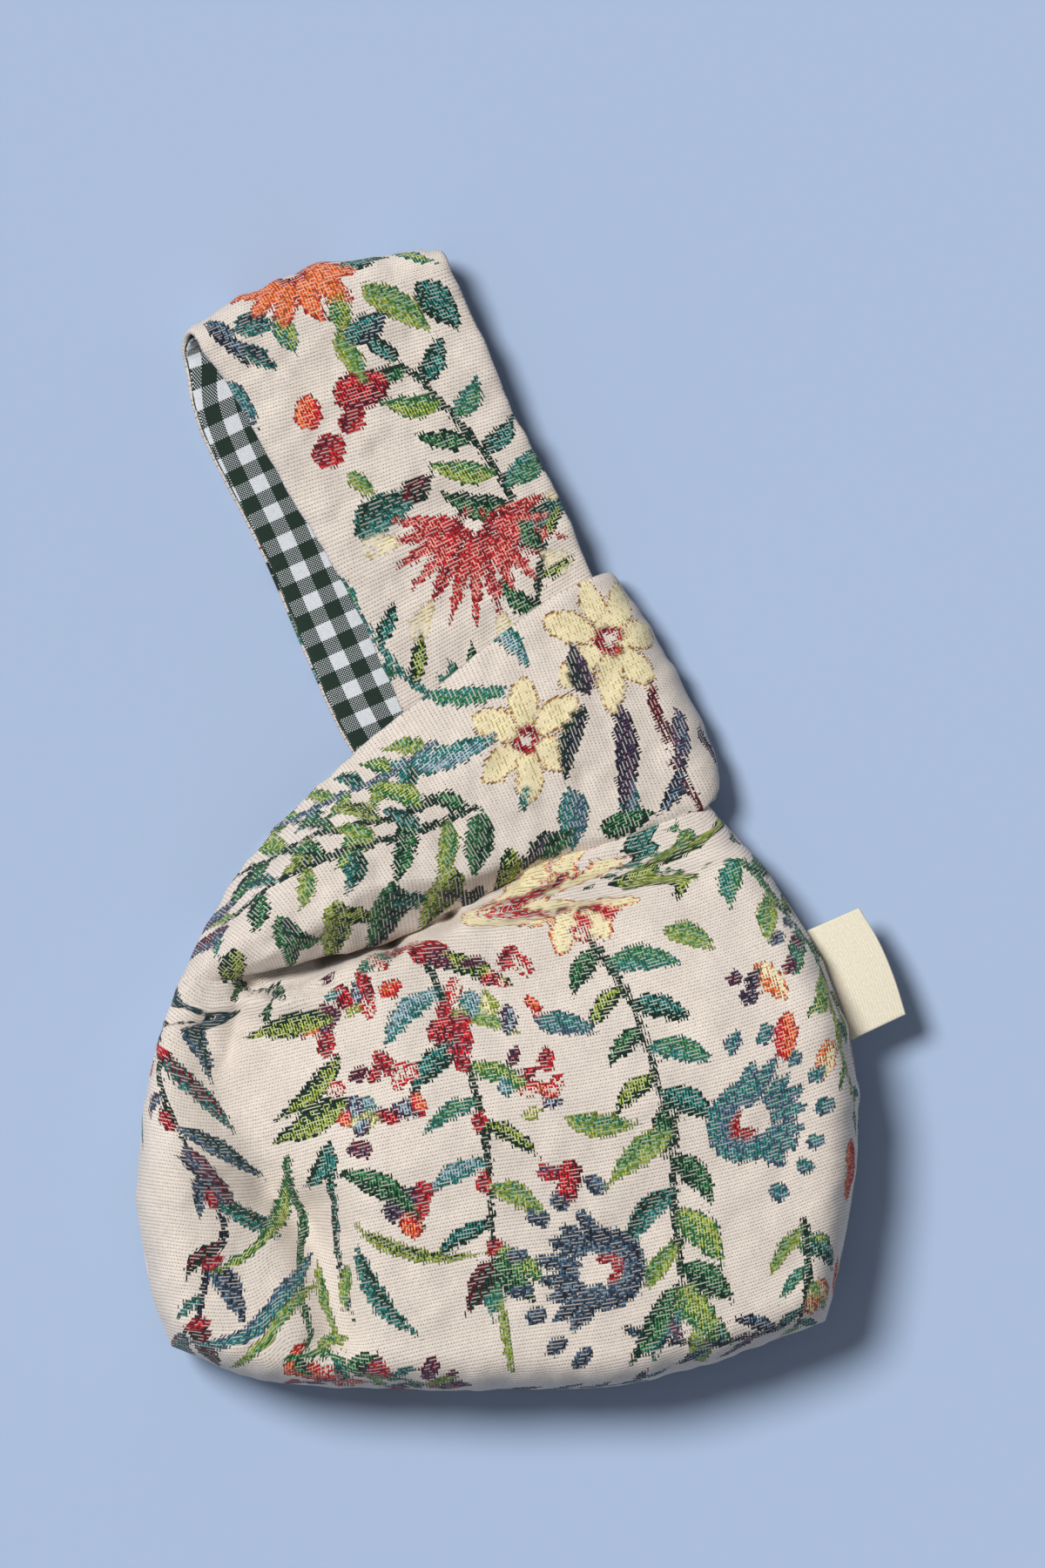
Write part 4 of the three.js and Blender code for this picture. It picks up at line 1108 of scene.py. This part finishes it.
LINING = 1.0
GAP = 0.5
INSET = (CLOTH + LINING) / 2 + GAP  # from the middle of the panel to the middle of the lining
WRINKLE_ROOM = 0.9  # more room under the front layer, whose wrinkles reach down
LINING_ACROSS = np.linspace(0.012, 0.988, 41)
LINING_FRONT = np.linspace(0.075, 0.995, 150)
LINING_BACK = np.linspace(0, 0.95, 150)[1:]

s, t = np.meshgrid(LINING_FRONT, LINING_ACROSS, indexing="ij")
over = long_section(LONG_FRONT, s, t, -INSET - WRINKLE_ROOM)
s, t = np.meshgrid(LINING_BACK, LINING_ACROSS, indexing="ij")
behind = long_section(LONG_BACK, s, t, INSET)
first_back = long_section(LONG_BACK, 0 * LINING_ACROSS, LINING_ACROSS, INSET)
inner_end = (LONG_END[0] - INSET - GAP, LONG_END[1])
end = loop_end(over[-1], first_back, LINING_ACROSS, np.linspace(0, 1, END_ROWS + 1)[1:], inner_end)
lining_grid = np.concatenate([over, end, behind])
lining_lay = strap_lay(lining_grid)
lining_middle, lining_net = joined(lining_grid, [])
loop_lining_cloth, _ = sewn_sheet("loop_lining_cloth", lining_middle, lining_net,
                                  lining_lay.reshape(-1, 2), LINING, [gingham])
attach(loop_lining_cloth, "root")
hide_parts("loop_lining")

# Tab. A cream ribbon folded in two, its ends sewn into the right side seam; the fold
# stands out to the side and droops a little.

# Ribbon's edge at the seam x, y, its edge at the fold x, y, height
TAB_SHAPE = [(87.1, -35, 102.6, -28.2, 16.8), (92.8, -45.4, 108.6, -38.4, 18.2),
             (97.2, -56.4, 113.2, -49.4, 19.2), (100.4, -68, 116.6, -60.4, 19.6)]
RIBBON = 0.5  # thickness of one layer
LAYERS_APART = 0.6
DROOP = 0.8
TAB_ROWS, FOLD_ROWS, TAB_COLUMNS = 28, 8, 54

# Out along the upper layer, round the fold, and back along the lower one
t = np.concatenate([np.linspace(0, 1, TAB_ROWS), np.ones(FOLD_ROWS), np.linspace(1, 0, TAB_ROWS)])
turn = np.concatenate([np.zeros(TAB_ROWS), np.linspace(0, 1, FOLD_ROWS + 2)[1:-1], np.ones(TAB_ROWS)])
s, t = np.meshgrid(np.linspace(0, 1, TAB_COLUMNS), t)
row = along(TAB_SHAPE, s)
turn = turn[:, None] * np.pi
x, y = mix(row[..., 0], row[..., 2], t), mix(row[..., 1], row[..., 3], t)
height = row[..., 4] - DROOP * t ** 2 + np.cos(turn) * LAYERS_APART / 2
tab_grid = np.stack([x + np.sin(turn) * LAYERS_APART / 2, y, height], -1)

# Woven cotton ribbon: matt cream, with fine ribs across it
ribbon, fine, cotton = new_material("woven cotton ribbon", Roughness=0.7, Specular_IOR_Level=0.3)
flat = add(fine, "UVMap", uv_map="cloth laid flat")
ribs = add(fine, "TexWave", ("Vector", flat), ("Scale", 0.35), ("Distortion", 0.4),
           ("Detail", 1.0), bands_direction="Y", out=1)
speck = add(fine, "TexNoise", ("Vector", flat), ("Scale", 1.2), ("Detail", 4.0), noise_dimensions="2D")
speck = add(fine, "MapRange", speck, 0.3, 0.7, 0.93, 1.05)
ribbon_colour = add(fine, "VectorMath SCALE", linear("#e6dcc5")[:3], ("Scale", speck))
relief = add(fine, "Bump", ("Strength", 0.5), ("Distance", 0.0001), ("Height", ribs))
link_finish(fine, cotton, ribbon_colour, relief)

tab_middle, tab_net = joined(tab_grid, [])
ribbon_tab, _ = sewn_sheet("ribbon_tab", tab_middle, tab_net[:, ::-1],
                           strap_lay(tab_grid).reshape(-1, 2), RIBBON, [ribbon])
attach(ribbon_tab, "root")
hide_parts("label_tab")

# Floor, light and camera. A plain pale blue floor under soft light from the upper
# left, and a camera far above, so that it sees the bag almost without perspective.

floor_mesh = bpy.data.meshes.new("floor")
floor_mesh.from_pydata([(-3, -3, 0), (3, -3, 0), (3, 3, 0), (-3, 3, 0)], [], [(0, 1, 2, 3)])
# Painted board: matt, the same pale blue all over
board, _, _ = new_material("painted board", Base_Color=linear("#a9bbd6"), Roughness=0.9,
                           Specular_IOR_Level=0.1)
floor_mesh.materials.append(board)
floor = into_scene("floor", floor_mesh)

KEY_TURN = (-18.5, -25.5, 0)  # degrees about X and Y, from shining straight down
KEY_WIDTH = 0.33  # radians that it spans in the sky, for the soft edge of the shadow
CAMERA_HEIGHT = 6.0
VIEW_LENGTH = 0.4806  # what the long side of the picture spans
VIEW_MIDDLE = 10.0  # millimetres above the drawing's origin
camera_data = bpy.data.cameras.new("camera")
camera_data.sensor_width = 36
camera_data.lens = 36 * CAMERA_HEIGHT / VIEW_LENGTH
camera = into_scene("camera", camera_data)
camera.location = (TO_FRAME[0] * MM, (VIEW_MIDDLE + TO_FRAME[1]) * MM, CAMERA_HEIGHT)
bpy.context.scene.camera = camera

key_data = bpy.data.lights.new("key", "SUN")
key_data.energy = 3.15
key_data.angle = KEY_WIDTH
key = into_scene("key", key_data)
key.rotation_euler = np.radians(KEY_TURN)
world = bpy.data.worlds.new("studio")
world.use_nodes = True
sky = world.node_tree.nodes["Background"]
sky.inputs["Color"].default_value = linear("#eef2fa")
sky.inputs["Strength"].default_value = 0.2
bpy.context.scene.world = world
bpy.context.scene.view_settings.view_transform = "Standard"
